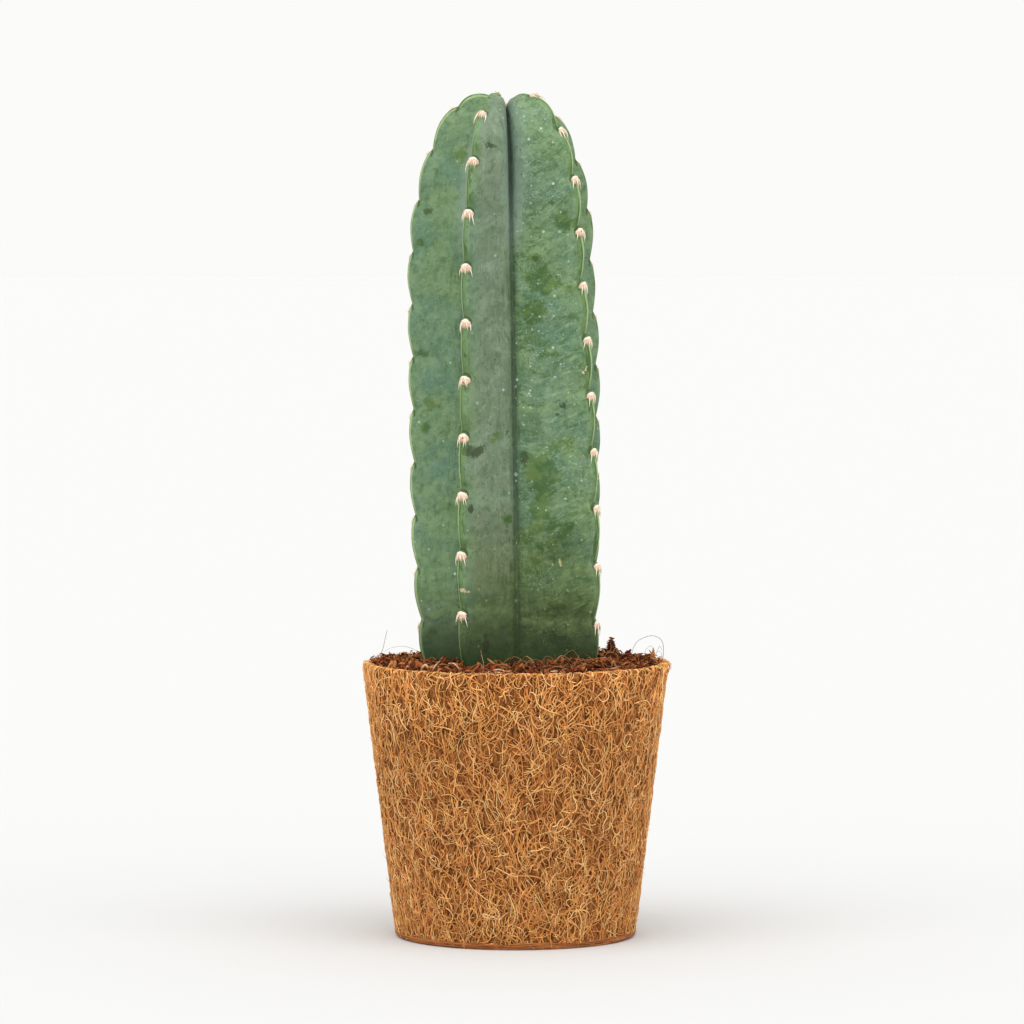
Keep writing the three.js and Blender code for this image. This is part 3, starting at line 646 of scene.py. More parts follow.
def areoles():
    """Where each areole is: its place on the crest, its frame as (sideways, down the rib, out of
    the skin) and its scale. The topmost of each rib is a young one, above the first of the row."""
    rows = [areole_length(rib, np.arange(count, -1, -1)) for rib, count in enumerate(RIB_AREOLES)]
    rib = np.repeat(np.arange(len(rows)), [len(row) for row in rows])
    scale = np.concatenate([np.append(np.ones(len(row) - 1), YOUNG_SCALE) for row in rows])
    length = np.concatenate(rows)
    place = stem_skin(rib, np.zeros(len(rib)), length)[0]
    bearing = np.radians(crest_heading(rib, place[:, 2]))
    outwards = around(1, bearing, 0)
    upwards = np.array([0, 0, 1.0])
    out_r, out_z = (slope[:, None] for slope in crest_slope(length))
    down = out_r * outwards + out_z * upwards
    out = -out_z * outwards + out_r * upwards
    side, aside = np.cross(down, out), RIB_ASIDE[rib][:, None]
    place = place + aside * side - CREST_WRAP * aside ** 2 * out
    return place, np.stack([side, down, out], 1), scale


AREOLE_PLACE, AREOLE_FRAME, AREOLE_SCALE = areoles()


def copies(shapes, faces, frames, places):
    """Shapes set down one at each place: a point is the sum of its frame's three directions, each
    times one of its coordinates, added to the place."""
    points = np.einsum("mkj,mji->mki", shapes, frames) + places[:, None]
    shift = np.arange(len(places)) * shapes.shape[1]
    repeated = [(group + shift[:, None, None]).reshape(-1, group.shape[1]) for group in faces]
    return points.reshape(-1, 3), repeated


def round_angles(count):
    """Angles spaced evenly round a full turn."""
    return 2 * math.pi * np.arange(count) / count


def unit(ways):
    """Directions brought to a length of one."""
    return ways / np.maximum(np.linalg.norm(ways, axis=-1, keepdims=True), 1e-9)


def strands(paths, radius, sides=3):
    """Round tubes along many paths at once. Round each point of a path stands a ring, square to
    the path, and the first and last rings are closed by a face. Returns the points and faces."""
    ahead = unit(np.gradient(paths, axis=1))
    chord = paths[:, -1] - paths[:, 0]
    reference = np.where(np.abs(chord[:, 2:3]) > np.linalg.norm(chord[:, :2], axis=1, keepdims=True),
                         [[1.0, 0.3, 0]], [[0, 0.2, 1.0]])
    side = unit(np.cross(ahead, reference[:, None]))
    other = np.cross(side, ahead)
    turn = round_angles(sides)
    ring = np.cos(turn)[:, None] * side[:, :, None] + np.sin(turn)[:, None] * other[:, :, None]
    points = paths[:, :, None] + ring * radius[:, :, None, None]
    index = np.arange(points[..., 0].size).reshape(points.shape[:3])
    here, after = index[:, :-1], index[:, 1:]
    walls = np.stack([here, after, np.roll(after, -1, 2), np.roll(here, -1, 2)], -1)
    ends = np.concatenate([index[:, 0], index[:, -1, ::-1]])
    return points.reshape(-1, 3), [walls.reshape(-1, 4), ends]


def on_areoles(path, radius, sides=3):
    """Tubes along paths given in the areoles' own frames, the same number to each areole."""
    owner = np.repeat(np.arange(len(AREOLE_PLACE)), len(path) // len(AREOLE_PLACE))
    path = path * AREOLE_SCALE[owner][:, None, None]
    path = np.einsum("mkj,mji->mki", path, AREOLE_FRAME[owner]) + AREOLE_PLACE[owner][:, None]
    return strands(path, radius, sides)


def dome_shape(rng, count, rows=8, columns=16):
    """Closed half-domes in (sideways, down, out): an ellipse stretched more upwards than
    downwards, rising to its depth by a cosine, roughened by a random share at each point and
    bent round the crest by the distance sideways squared."""
    turn = round_angles(columns)
    tilt = np.linspace(0.12, PAD_WRAP, rows)[:, None] * math.pi / 2
    down = np.where(np.sin(turn) > 0, PAD_DOWN, PAD_UP) * np.sin(turn)
    grid = np.stack([PAD_WIDTH * np.cos(turn) * np.sin(tilt), down * np.sin(tilt),
                     PAD_DEPTH * np.cos(tilt) + 0 * turn], -1).reshape(-1, 3)
    under = PAD_DEPTH * math.cos(PAD_WRAP * math.pi / 2)
    grid = np.concatenate([grid, [[0, 0, PAD_DEPTH], [0, 0, under]]])
    shapes = grid * (1 + rng.normal(0, PAD_ROUGHNESS, (count, len(grid), 1)))
    shapes[..., 2] -= PAD_SUNK + CREST_WRAP * shapes[..., 0] ** 2
    last = (rows - 1) * columns
    faces = [grid_faces(rows, columns), pole_faces(np.arange(columns), len(grid) - 2),
             pole_faces(np.arange(last, last + columns)[::-1], len(grid) - 1)]
    return shapes, faces


def wool_finish():
    """Cream wool along the pad's upper edge, pinkish under the spines' roots with a few dark pits,
    greyed by painted shade under the claws, and a fine felted grain. The attribute runs from -1 at the
    upper edge to 1 under the claws."""
    m = Finish("cream areole wool")
    down = m.value("down")
    place = m.ragged(down, m.noise(1.0, 2), 0.7)
    m.coats = m.mix(m.step(place, -0.75, -0.2), paint(244, 236, 212), paint(226, 192, 170))
    # painted shade: greyish olive on the lower pad, under the claws
    m.coat(paint(150, 150, 112), m.step(place, 0.1, 0.5), 0.6)
    m.coat(paint(168, 120, 96), m.step(m.noise(0.7, 2), 0.56, 0.7), 0.35)
    pits = m.times(m.step(m.cells(1.9), 0.23, 0.14), m.step(down, -0.75, -0.6))
    m.coat(paint(84, 44, 34), pits, 0.85)
    return m.finish(0.95, m.bump(m.noise(0.3, 3), 0.2), Specular_IOR_Level=0.1)


def pad_hairs(rng, each=34, steps=5):
    """Short hairs on each pad: each starts at a random point of the dome, leans out along it and
    downwards, and curls by a sine as it goes. Returns the tubes and how far down the pad each
    hair's root is."""
    count = each * len(AREOLE_PLACE)
    turn = rng.uniform(0, 2 * math.pi, count)
    tilt = np.arccos(rng.uniform(0.1, 1, count))
    down = np.where(np.sin(turn) > 0, PAD_DOWN, PAD_UP) * np.sin(turn)
    out = np.stack([np.cos(turn) * np.sin(tilt), np.sin(turn) * np.sin(tilt), np.cos(tilt)], -1)
    root = np.stack([PAD_WIDTH * out[:, 0], down * np.sin(tilt), PAD_DEPTH * out[:, 2]], -1) * 0.95
    lean = unit(out + rng.normal(0, 0.45, (count, 3)) + [0, 0.5, 0])
    curl = rng.normal(0, 0.22, (count, 3))
    along = np.linspace(0, 1, steps)[:, None]
    length = rng.uniform(*HAIR_LENGTH, (count, 1, 1))
    path = root[:, None] + length * lean[:, None] * along + curl[:, None] * np.sin(2.6 * along) * along
    path[..., 2] -= PAD_SUNK + CREST_WRAP * path[..., 0] ** 2
    radius = np.linspace(HAIR_ROOT, HAIR_TIP, steps) * np.ones((count, 1))
    return *on_areoles(path, radius), np.repeat(root[:, 1] / PAD_UP, steps * 3)


draw = np.random.default_rng(11)
wool_material = wool_finish()
pads, pad_faces = dome_shape(draw, len(AREOLE_PLACE))
points, faces = copies(pads * AREOLE_SCALE[:, None, None], pad_faces, AREOLE_FRAME, AREOLE_PLACE)
stem_piece("areole_wool", wool_material, points, faces, down=(pads[..., 1] / PAD_UP).ravel())
points, faces, down = pad_hairs(draw)
stem_piece("areole_hairs", wool_material, points, faces, down=down)


# ---------------------------------------------------------------- spines of the areoles
# Short, thick, pale spines like claws arch over each pad from its middle and hang down over the
# skin, with a few fine straight ones. They are hard, dry horn, cream with pinkish-brown roots.

CLAW_SIDE = np.array([-1.0, -0.55, 0.05, 0.5, 1.0])  # where each claw of a fan starts, and its drop
CLAW_DROP = np.array([4.6, 4.2, 2.8, 4.2, 4.8])
CLAW_RADIUS, CLAW_ROOT, CLAW_SPREAD = 0.32, 1.9, 0.45
CLAW_OUT, CLAW_ARCH = 0.5, 0.6       # how far a claw starts off the pad, and how much it arches
NEEDLE_LENGTH, NEEDLE_RADIUS = 1.9, 0.09
NEEDLE_ROOT = np.array([0, -0.4, 0.2])


def claws(rng, steps=9):
    """Claws that start side by side across the pad, the outer ones lower, spread a little by an
    S-curve as they hang down, and stand off it by half a sine. They bend round the crest too."""
    count = len(CLAW_DROP) * len(AREOLE_PLACE)
    t = np.linspace(0, 1, steps)
    side = (np.tile(CLAW_SIDE, len(AREOLE_PLACE)) + rng.normal(0, 0.13, count))[:, None]
    drop = (np.tile(CLAW_DROP, len(AREOLE_PLACE)) * rng.uniform(0.7, 1.1, count))[:, None]
    across = side * (CLAW_ROOT + CLAW_SPREAD * smoothstep(t, 0, 0.7))
    across = across + rng.normal(0, 0.35, (count, 1)) * t ** 2
    arch = CLAW_ARCH * np.sin(0.8 * math.pi * t)
    out = CLAW_OUT - 0.35 * side ** 2 + arch + rng.uniform(-0.1, 0.15, (count, 1))
    down = -1.3 + 0.7 * side ** 2 + drop * t
    path = np.stack([across, down, out - CREST_WRAP * across ** 2], -1)
    radius = CLAW_RADIUS * (1 - 0.8 * t ** 1.2) * rng.uniform(0.75, 1.15, (count, 1))
    return path, radius


def needles(rng, each=3, steps=4):
    """Fine spines that leave the pad straight, out, sideways and a little down."""
    count = each * len(AREOLE_PLACE)
    way = [rng.normal(0, 0.8, count), rng.normal(0.35, 0.5, count), np.ones(count)]
    way = unit(np.stack(way, -1))
    size = NEEDLE_LENGTH * rng.uniform(0.5, 1.1, (count, 1, 1))
    t = np.linspace(0, 1, steps)
    path = NEEDLE_ROOT + way[:, None] * size * t[:, None]
    return path, NEEDLE_RADIUS * (1 - 0.6 * t) * np.ones((count, 1))


def spine_finish():
    """Cream horn, pinkish brown at its root, a little darker at its tip."""
    m = Finish("cream spine")
    along = m.value("along")
    m.coats = m.mix(m.step(along, 0.0, 0.3), paint(226, 192, 170), paint(242, 232, 208))
    m.coat(paint(176, 170, 132), m.step(along, 0.6, 1.0), 0.6)
    return m.finish(0.6, m.bump(m.noise(0.4, 2), 0.04))


spine_material = spine_finish()
for name, shape, sides in (("claw_spines", claws, 6), ("fine_spines", needles, 4)):
    path, radius = shape(draw)
    points, faces = on_areoles(path, radius, sides)
    along = np.tile(np.linspace(0, 1, path.shape[1]), len(path))
    stem_piece(name, spine_material, points, faces, along=np.repeat(along, sides))


# ---------------------------------------------------------------- growing medium
# Shredded coconut husk fills the pot and is mounded against the stem: dark crumbs packed
# together, painted darker in part as shade of the gaps, with reddish-brown chips and short fibres lying on
# them and some pale root-like strands.

POT_HEIGHT, RIM_RADIUS, FOOT_RADIUS, WALL, FLOOR = 117.0, 65.0, 51.0, 4.5, 6.0
RIM_ROUNDING, FOOT_ROUNDING = 1.4, 2.5
SOIL_RADIUS, SOIL_AT_WALL, MOUND, RIGHT_MOUND, LUMPS = 60.2, 115.0, 2.0, 2.2, 0.8
MOUND_TOP, MOUND_FOOT, LEVEL_FROM = 36.0, 60.0, 54.0       # distances from the axis
RIGHT_FROM, RIGHT_TO = -10.0, 40.0
CRUMB, COARSE_CRUMB, CRUMB_HEIGHT = 1.3, 2.9, 1.3

# Clods: across, back from the front, reach and height.
CLODS = np.array([[41.0, 5.0, 2.9, 8.8], [48.2, 2.0, 2.2, 5.2], [37.0, -26.0, 5.0, 2.6],
                  [55.0, 12.0, 4.0, 2.0], [-54.0, 3.0, 5.0, 1.8], [-49.0, -12.0, 6.0, 1.6]])

NEAREST, FIBRE_EDGE, STRAND_EDGE = 18.0, 59.4, 59.6    # distances that loose pieces keep to
RIM_CHIPS, ON_RIM = (57.5, 63.0), 57.4    # where chips lie on the rim, and past what they are lifted
LATTICE, LATTICE_START = 96, 40           # a field of hills: its cells a side, and where 0 lies

# Pale strands lying on the ground: each one's radius, then listed points as across, back from the
# front, and up off the ground.
PALE_STRANDS = [
    (0.5, [[-40.5, -44, -0.5], [-40.2, -45.5, 2.5], [-38, -46.2, 4.6], [-36.5, -46, 3],
           [-35.5, -45, -0.5]]),
    (0.42, [[-46, -37, -0.5], [-46.4, -38, 2], [-45.4, -38.5, 3.4], [-44.5, -37, 1.5],
            [-43.5, -36, -0.5]]),
    (0.45, [[-20, -55, 0], [-14, -56.5, 1.5], [-6, -57, 1.6], [0, -57.5, 0.8], [3, -56, -0.5]]),
    (0.36, [[-25, -52, -0.3], [-17, -55.5, 1.2], [-9, -55, 2.4], [-2, -56, 1.4], [4, -57, 0.2]]),
    (0.28, [[-35.5, -48, 0], [-34.5, -48, 3], [-33, -47, 5], [-31.5, -46, 6.5]]),
    (0.3, [[-28, -47, 6], [-26, -48.5, 5.2], [-24, -50, 3.5], [-21.5, -51, 1], [-20, -51, -0.5]]),
    (0.13, [[-13.6, -46, -0.5], [-13.4, -46.5, 3.5], [-14, -47, 6.5], [-14.6, -47, 9.5]]),
    (0.4, [[8, -56, -0.5], [13, -57, 2], [18, -55.5, 2.5], [22, -53, 0.5]]),
    (0.3, [[38, -42, -0.5], [40, -43, 2.4], [43, -42, 2.8], [46, -39, -0.5]]),
]
STRAND_STEPS = 24


def value_noise(rng, x, y, cell):
    """Smooth random hills: seeded random numbers on a square lattice, blended between the four
    corners round each point by an S-curve."""
    lattice = rng.random((LATTICE, LATTICE))
    u, v = x / cell + LATTICE_START, y / cell + LATTICE_START
    i, j = np.floor(u).astype(int), np.floor(v).astype(int)
    s, t = smoothstep(u - i, 0, 1), smoothstep(v - j, 0, 1)
    i, j = i % (LATTICE - 1), j % (LATTICE - 1)
    low = blend(lattice[i, j], lattice[i + 1, j], s)
    high = blend(lattice[i, j + 1], lattice[i + 1, j + 1], s)
    return blend(low, high, t)


def soil_height(x, y):
    """The ground: level at the wall, mounded towards the stem and more on the right, with slow
    lumps made of products of sines, and a heap for each clod by a Gaussian."""
    r = np.hypot(x, y)
    rise = 1 - smoothstep(r, MOUND_TOP, MOUND_FOOT)
    lumps = np.sin(0.31 * x + 0.7) * np.cos(0.27 * y - 0.4) + 0.6 * np.sin(0.52 * x - 0.43 * y)
    height = SOIL_AT_WALL + MOUND * rise + RIGHT_MOUND * rise * smoothstep(x, RIGHT_FROM, RIGHT_TO)
    height = height + LUMPS * lumps * (1 - smoothstep(r, LEVEL_FROM, MOUND_FOOT))
    for cx, cy, reach, tall in CLODS:
        height = height + 0.8 * tall * np.exp(-((x - cx) ** 2 + (y - cy) ** 2) / (0.5 * reach ** 2))
    return height


def ground_shape(rng, columns=360, rows=90):
    """The crumbly ground as a closed solid: rings of the ground from its middle to the wall, a
    ring at the pot's floor, and a pole above and below."""
    turn = round_angles(columns)
    r = (SOIL_RADIUS * np.linspace(0.03, 1, rows))[:, None]
    x, y = r * np.sin(turn), -r * np.cos(turn)
    crumbs = value_noise(rng, x, y, CRUMB) + 0.6 * value_noise(rng, x, y, COARSE_CRUMB)
    z = soil_height(x, y) + CRUMB_HEIGHT * (crumbs - 0.8) * (1 - 0.6 * smoothstep(r, 58, 60))
    foot = blend(FOOT_RADIUS, RIM_RADIUS, FLOOR / POT_HEIGHT) - WALL - 0.6
    low = FLOOR + 0.3
    points = np.concatenate([np.stack([x, y, z], -1).reshape(-1, 3), around(foot, turn, low),
                             [[0, 0, SOIL_AT_WALL + MOUND], [0, 0, low]]])
    last = rows * columns
    top = pole_faces(np.arange(columns), len(points) - 2)
    under = pole_faces(np.arange(last, last + columns)[::-1], len(points) - 1)
    return points, [grid_faces(rows + 1, columns), top, under]


def stem_radius_at(x, y):
    """How far the skin reaches, at the soil, in the direction of each place."""
    length = np.interp(-(SOIL_LINE + 2), -CREST_Z, CREST_S)
    share = np.linspace(0, 1, 60, endpoint=False)
    ring = np.concatenate([stem_skin(np.full(len(share), rib), share, np.full(len(share), length))[0]
                           for rib in range(len(RIB_HEADING))])
    angle = np.arctan2(ring[:, 0], -ring[:, 1])
    order = np.argsort(angle)
    reach = np.hypot(ring[:, 0], ring[:, 1])[order]
    return np.interp(np.arctan2(x, -y), angle[order], reach, period=2 * math.pi)


def on_ground(rng, count, margin, inner):
    """Random places, evenly by area, that keep an inner margin from the stem and another from the
    pot's wall."""
    r = SOIL_RADIUS * np.sqrt(rng.uniform((NEAREST / SOIL_RADIUS) ** 2, 1, 5 * count))
    turn = rng.uniform(0, 2 * math.pi, 5 * count)
    x, y = r * np.sin(turn), -r * np.cos(turn)
    free = (r > stem_radius_at(x, y) + inner) & (r < SOIL_RADIUS - margin)
    return x[free][:count], y[free][:count]


def random_frames(rng, count, tilt):
    """Frames turned at random about the upright and tilted by normally spread angles."""
    spin, lean, roll = rng.uniform(0, 2 * math.pi, count), *rng.normal(0, tilt, (2, count))
    along = np.stack([np.cos(spin) * np.cos(lean), np.sin(spin) * np.cos(lean), np.sin(lean)], -1)
    level = np.stack([-np.sin(spin), np.cos(spin), np.zeros(count)], -1)
    up = np.cross(along, level)
    side = np.cos(roll)[:, None] * level + np.sin(roll)[:, None] * up
    return np.stack([along, side, np.cross(along, side)], 1)


def chip_shapes(rng, sizes, corners=6):
    """Torn flakes: two unequal six-cornered rings and a raised middle on each side, each corner
    moved by a random share, stretched to length, width and thickness."""
    count = len(sizes)
    turn = round_angles(corners)
    ring = np.stack([np.cos(turn), np.sin(turn), 0 * turn], -1)
    upper = ring * 0.85 + [0, 0, 0.5]
    lower = ring - [0, 0, 0.5]
    shape = np.concatenate([upper, lower, [[0, 0, 0.8], [0, 0, -0.8]]])
    torn = shape * rng.uniform(0.55, 1.25, (count, len(shape), 1))
    torn = torn + rng.normal(0, 0.12, torn.shape)
    bend = 0.5 * (torn[..., :1] ** 2 - 0.4) * rng.normal(0, 1, (count, 1, 1))
    torn = torn + bend * [0, 0, 1.0]
    faces = [grid_faces(2, corners), pole_faces(np.arange(corners), 2 * corners),
             pole_faces(np.arange(corners, 2 * corners)[::-1], 2 * corners + 1)]
    return torn * sizes[:, None] / 2, faces


def point_paint(red, green, blue):
    """A paint as an array of three, for the points of a piece."""
    return np.array(paint(red, green, blue)[:3])


def husk_tints(rng, count):
    """Colours between dark, reddish and tan husk, one a row, by a random share."""
    dark, red, tan = point_paint(36, 16, 7), point_paint(160, 76, 32), point_paint(218, 146, 86)
    share = rng.beta(1.0, 1.35, (count, 1)) * 2
    return np.where(share < 1, blend(dark, red, share), blend(red, tan, share - 1))


def husk_finish(name, tinted):
    """Damp coconut husk: dark between, partly painted shade of the gaps between the chips, reddish brown
    on top, with a fibrous grain.
    """
    m = Finish(name)
    if tinted:
        grain = m.step(m.noise(0.9, 3, 0.6), 0.3, 0.7)
        m.coats = m.colour("tint")
        m.coat(paint(50, 23, 10), grain, 0.3)
    else:
        # partly painted shade: the ground's near-black browns stand in part for the shade between the
        # chips
        m.coats = m.mix(m.step(m.noise(1.1, 4, 0.65), 0.38, 0.66), paint(18, 8, 4), paint(70, 34, 16))
        m.coat(paint(110, 58, 28), m.step(m.noise(3, 3), 0.55, 0.7), 0.3)
    return m.finish(0.9, m.bump(m.noise(0.6, 4, 0.7), 0.25), Specular_IOR_Level=0.2)


def husk_piece(name, material, points, faces, **values):
    """A piece of the growing medium: it stands for the CAD's, which it hides, and hangs from the root
    body.
    """
    piece = mesh_piece(name, material, points, faces, **values)
    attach(piece, "root")
    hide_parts("growing_medium")


def wander(rng, count, steps, length, heading, spread, bend, wave):
    """Lines on a flat sheet. Each sets out at a heading, which turns steadily by its bend and
    sways by a sine; its places are running sums of the heading's cosine and sine, about their
    middle. Returns (across, along) for every line and step."""
    t = np.linspace(0, 1, steps)
    sway = np.sin(2 * math.pi * (t * rng.uniform(0.6, 1.8, (count, 1)) + rng.random((count, 1))))
    angle = heading + rng.normal(0, spread, (count, 1)) + rng.normal(0, wave, (count, 1)) * sway
    angle = angle + bend * (t - 0.5)
    step = length / (steps - 1)
    line = np.stack([np.cumsum(np.cos(angle), 1), np.cumsum(np.sin(angle), 1)], -1)
    line *= step[:, None, None]
    return line - line[:, steps // 2][:, None]


def through(knots, steps):
    """A smooth line through given points: between each two, the cubic whose slopes are half
    the way between the points on either side."""
    knots = np.array(knots)
    slopes = np.gradient(knots, axis=0)
    place = np.linspace(0, len(knots) - 1, steps)
    i = np.minimum(place.astype(int), len(knots) - 2)
    t = (place - i)[:, None]
    return ((1 + 2 * t) * (1 - t) ** 2 * knots[i] + t * (1 - t) ** 2 * slopes[i]
            + t * t * (3 - 2 * t) * knots[i + 1] - t * t * (1 - t) * slopes[i + 1])


draw = np.random.default_rng(23)
husk_piece("husk_ground", husk_finish("packed husk crumbs", False), *ground_shape(draw))

# torn chips of three sizes: an eighth of them on the clods, a seventh on the pot's rim
chip_material = husk_finish("husk chips", True)
for name, count, longest, tilt, above in (("husk_crumbs", 3000, 2.6, 0.6, 0.3),
                                          ("husk_chips", 1900, 5.6, 0.5, 0.5),
                                          ("husk_chunks", 430, 8.5, 0.5, 0.8)):
    x, y = on_ground(draw, count, 0.6, 0.2)
    clod = CLODS[draw.integers(0, len(CLODS), count // 8)]
    near = clod[:, :2] + draw.normal(0, 0.45, (len(clod), 2)) * clod[:, 2:3]
    x[:len(near)], y[:len(near)] = near.T
    rim = slice(len(near), len(near) + count // 7)
    turn = draw.uniform(0, 2 * math.pi, count // 7)
    x[rim], y[rim] = draw.uniform(*RIM_CHIPS, count // 7) * [np.sin(turn), -np.cos(turn)]
    longest = longest * np.where(np.arange(count) < rim.stop, 0.6, 1.0)[:, None]
    sizes = longest * draw.uniform(0.35, 1, (count, 1)) * np.stack(
        [np.ones(count), draw.uniform(0.15, 0.42, count), draw.uniform(0.08, 0.2, count)], -1)
    shapes, faces = chip_shapes(draw, sizes)
    lifted = np.where(np.hypot(x, y) > ON_RIM, POT_HEIGHT - SOIL_AT_WALL + 0.2, 0.0)
    places = np.stack([x, y, soil_height(x, y) + lifted + above * draw.uniform(0, 2.0, count)], -1)
    points, faces = copies(shapes, faces, random_frames(draw, count, tilt), places)
    tints = np.repeat(husk_tints(draw, count), shapes.shape[1], 0)
    husk_piece(name, chip_material, points, faces, tint=tints)

# short fibres, each a wandering line laid over the ground and lifted off it by a random arch
count, steps = 320, 12
x, y = on_ground(draw, count, 3.0, 0.5)
lines = wander(draw, count, steps, draw.uniform(4, 15, count), draw.uniform(0, 6.3, (count, 1)),
               0, draw.normal(0, 1.2, (count, 1)), 0.4)
lines += np.stack([x, y], -1)[:, None]
r = np.linalg.norm(lines, axis=-1, keepdims=True)
lines *= np.minimum(1, FIBRE_EDGE / r)
arch = np.sin(math.pi * np.linspace(0, 1, steps)) * draw.gamma(2, 0.7, (count, 1)) + 0.3
height = soil_height(lines[..., 0], lines[..., 1]) + arch
radius = draw.uniform(0.1, 0.24, (count, 1)) * np.ones(steps)
points, faces = strands(np.concatenate([lines, height[..., None]], -1), radius)
tints = blend(point_paint(92, 48, 24), point_paint(206, 150, 94), draw.beta(1.5, 1.5, (count, 1)))
husk_piece("husk_fibres", chip_material, points, faces, tint=np.repeat(tints, steps * 3, 0))

# the pale strands, thicker and smoother
paths = np.stack([through(knots, STRAND_STEPS) for _, knots in PALE_STRANDS])
paths[..., 2] += soil_height(paths[..., 0], paths[..., 1])
r = np.linalg.norm(paths[..., :2], axis=-1, keepdims=True)
paths[..., :2] *= np.minimum(1, STRAND_EDGE / r)
thickest = np.array([size for size, _ in PALE_STRANDS])[:, None]
radius = thickest * (1 - 0.45 * np.linspace(0, 1, STRAND_STEPS) ** 4)
pale = Finish("pale root strands")
pale.coats = pale.mix(pale.step(pale.noise(2.2, 3), 0.4, 0.7), paint(224, 184, 146), paint(172, 116, 78))
pale_material = pale.finish(0.8, pale.bump(pale.noise(0.5, 3), 0.1))
husk_piece("pale_strands", pale_material, *strands(paths, radius, 8))


# ---------------------------------------------------------------- coir pot
# A tapered pot pressed from matted coconut fibre: a felted body, dark in its gaps, under layers
# of tan and golden fibres that run mostly up and down, bent over the rim and glued flat at the foot.
# The lower layers are painted darker as shade, and the top ones paler as painted highlights.

ARC_STEPS = 8
BODY_SUNK, HOLLOWS, HOLLOW_SIZES = 0.42, 0.35, (2.4, 5.5)
RIM_LIP = 1.0                # how far the rim's edge is drawn out on the right
FIBRES_FROM = 2.6            # fibres start this far under the wall, round the foot's corner
END_TUCK, EDGE_TUCK = 0.8, 1.2       # how deep fibres go in at their ends, and at the pot's edges
RIM_BRIGHTER, BRIGHTER_OVER = 0.19, 30.0     # fibres near the rim are paler, over this height
# tones run darker for the lower layers, as painted shade under the fibres over them, and paler for the top
# ones, as painted highlights
FIBRE_LAYERS = [   # name, fibres, steps, length, radius, height, tones, spread, bend, lift
    ("coir_under", 2800, 12, (8, 20), 0.32, -0.26, (0.18, 0.68), 0.55, 1.2, 0.12),
    ("coir_middle", 3500, 10, (5, 15), 0.24, -0.06, (0.35, 0.85), 0.65, 1.8, 0.13),
    ("coir_upper", 2800, 8, (3, 9), 0.19, 0.08, (0.4, 0.95), 0.65, 2.2, 0.15),
    ("coir_outer", 2800, 8, (3, 9), 0.17, 0.1, (0.35, 1.0), 0.75, 2.3, 0.15),
    ("coir_loops", 700, 18, (8, 22), 0.18, 0.22, (0.5, 1.0), 0.55, 2.6, 0.22),
]


def wall_radius(z):
    """The outside of the tapered wall, straight from the foot to just under the rim."""
    return blend(FOOT_RADIUS, RIM_RADIUS, z / (POT_HEIGHT - RIM_ROUNDING))


def corner_arc(r, z, size, start, end):
    """A rounded corner about a point, from one direction to another in degrees."""
    turn = np.radians(np.linspace(start, end, ARC_STEPS))
    return np.stack([r + size * np.cos(turn), z + size * np.sin(turn)], -1)


def pot_profile():
    """The pot's section as (radius, height), from the middle of its underside out, round the
    foot, up the wall, over the rim, down inside and back across the floor."""
    slant = math.degrees(math.atan((RIM_RADIUS - FOOT_RADIUS) / (POT_HEIGHT - RIM_ROUNDING)))
    in_from_wall = 1 / math.cos(math.radians(slant))
    rim_z = POT_HEIGHT - RIM_ROUNDING
    foot = corner_arc(wall_radius(FOOT_ROUNDING) - FOOT_ROUNDING * in_from_wall, FOOT_ROUNDING,
                      FOOT_ROUNDING, -90, -slant)
    rim = corner_arc(RIM_RADIUS - RIM_ROUNDING * in_from_wall, rim_z, RIM_ROUNDING, -slant, 90)
    inner = corner_arc(RIM_RADIUS - WALL + RIM_ROUNDING, rim_z, RIM_ROUNDING, 90, 180)
    floor_corner = [[wall_radius(FLOOR) - WALL, FLOOR]]
    return np.concatenate([[[0.5, 0]], foot, rim, inner, floor_corner, [[0.5, FLOOR]]])


PROFILE = pot_profile()
PROFILE_S = np.concatenate([[0], np.cumsum(np.linalg.norm(np.diff(PROFILE, axis=0), axis=1))])
WALL_START, WALL_END = PROFILE_S[ARC_STEPS], PROFILE_S[ARC_STEPS + 1]
RIM_END = PROFILE_S[3 * ARC_STEPS]


def pot_at(along, angle, off):
    """A point of the pot's skin: the section at a length along it, turned to an angle from the
    front, and moved off it square to the section. On the right the rim's edge flares outwards,
    by a smooth step up the wall times a high power of the angle's sine."""
    (r, z), before, after = (
        [np.interp(along + step, PROFILE_S, PROFILE[:, axis]) for axis in (0, 1)]
        for step in (0, -0.3, 0.3))
    r1, z1 = after[0] - before[0], after[1] - before[1]
    size = np.maximum(np.hypot(r1, z1), 1e-9)
    lip = smoothstep(along, WALL_END - 5, WALL_END + 1)
    lip = lip * (1 - smoothstep(along, WALL_END + 3, WALL_END + 8))
    lip = RIM_LIP * lip * np.clip(np.sin(angle), 0, 1) ** 8
    r, z = r + lip + off * z1 / size, z - off * r1 / size
    return around(r, angle, z)


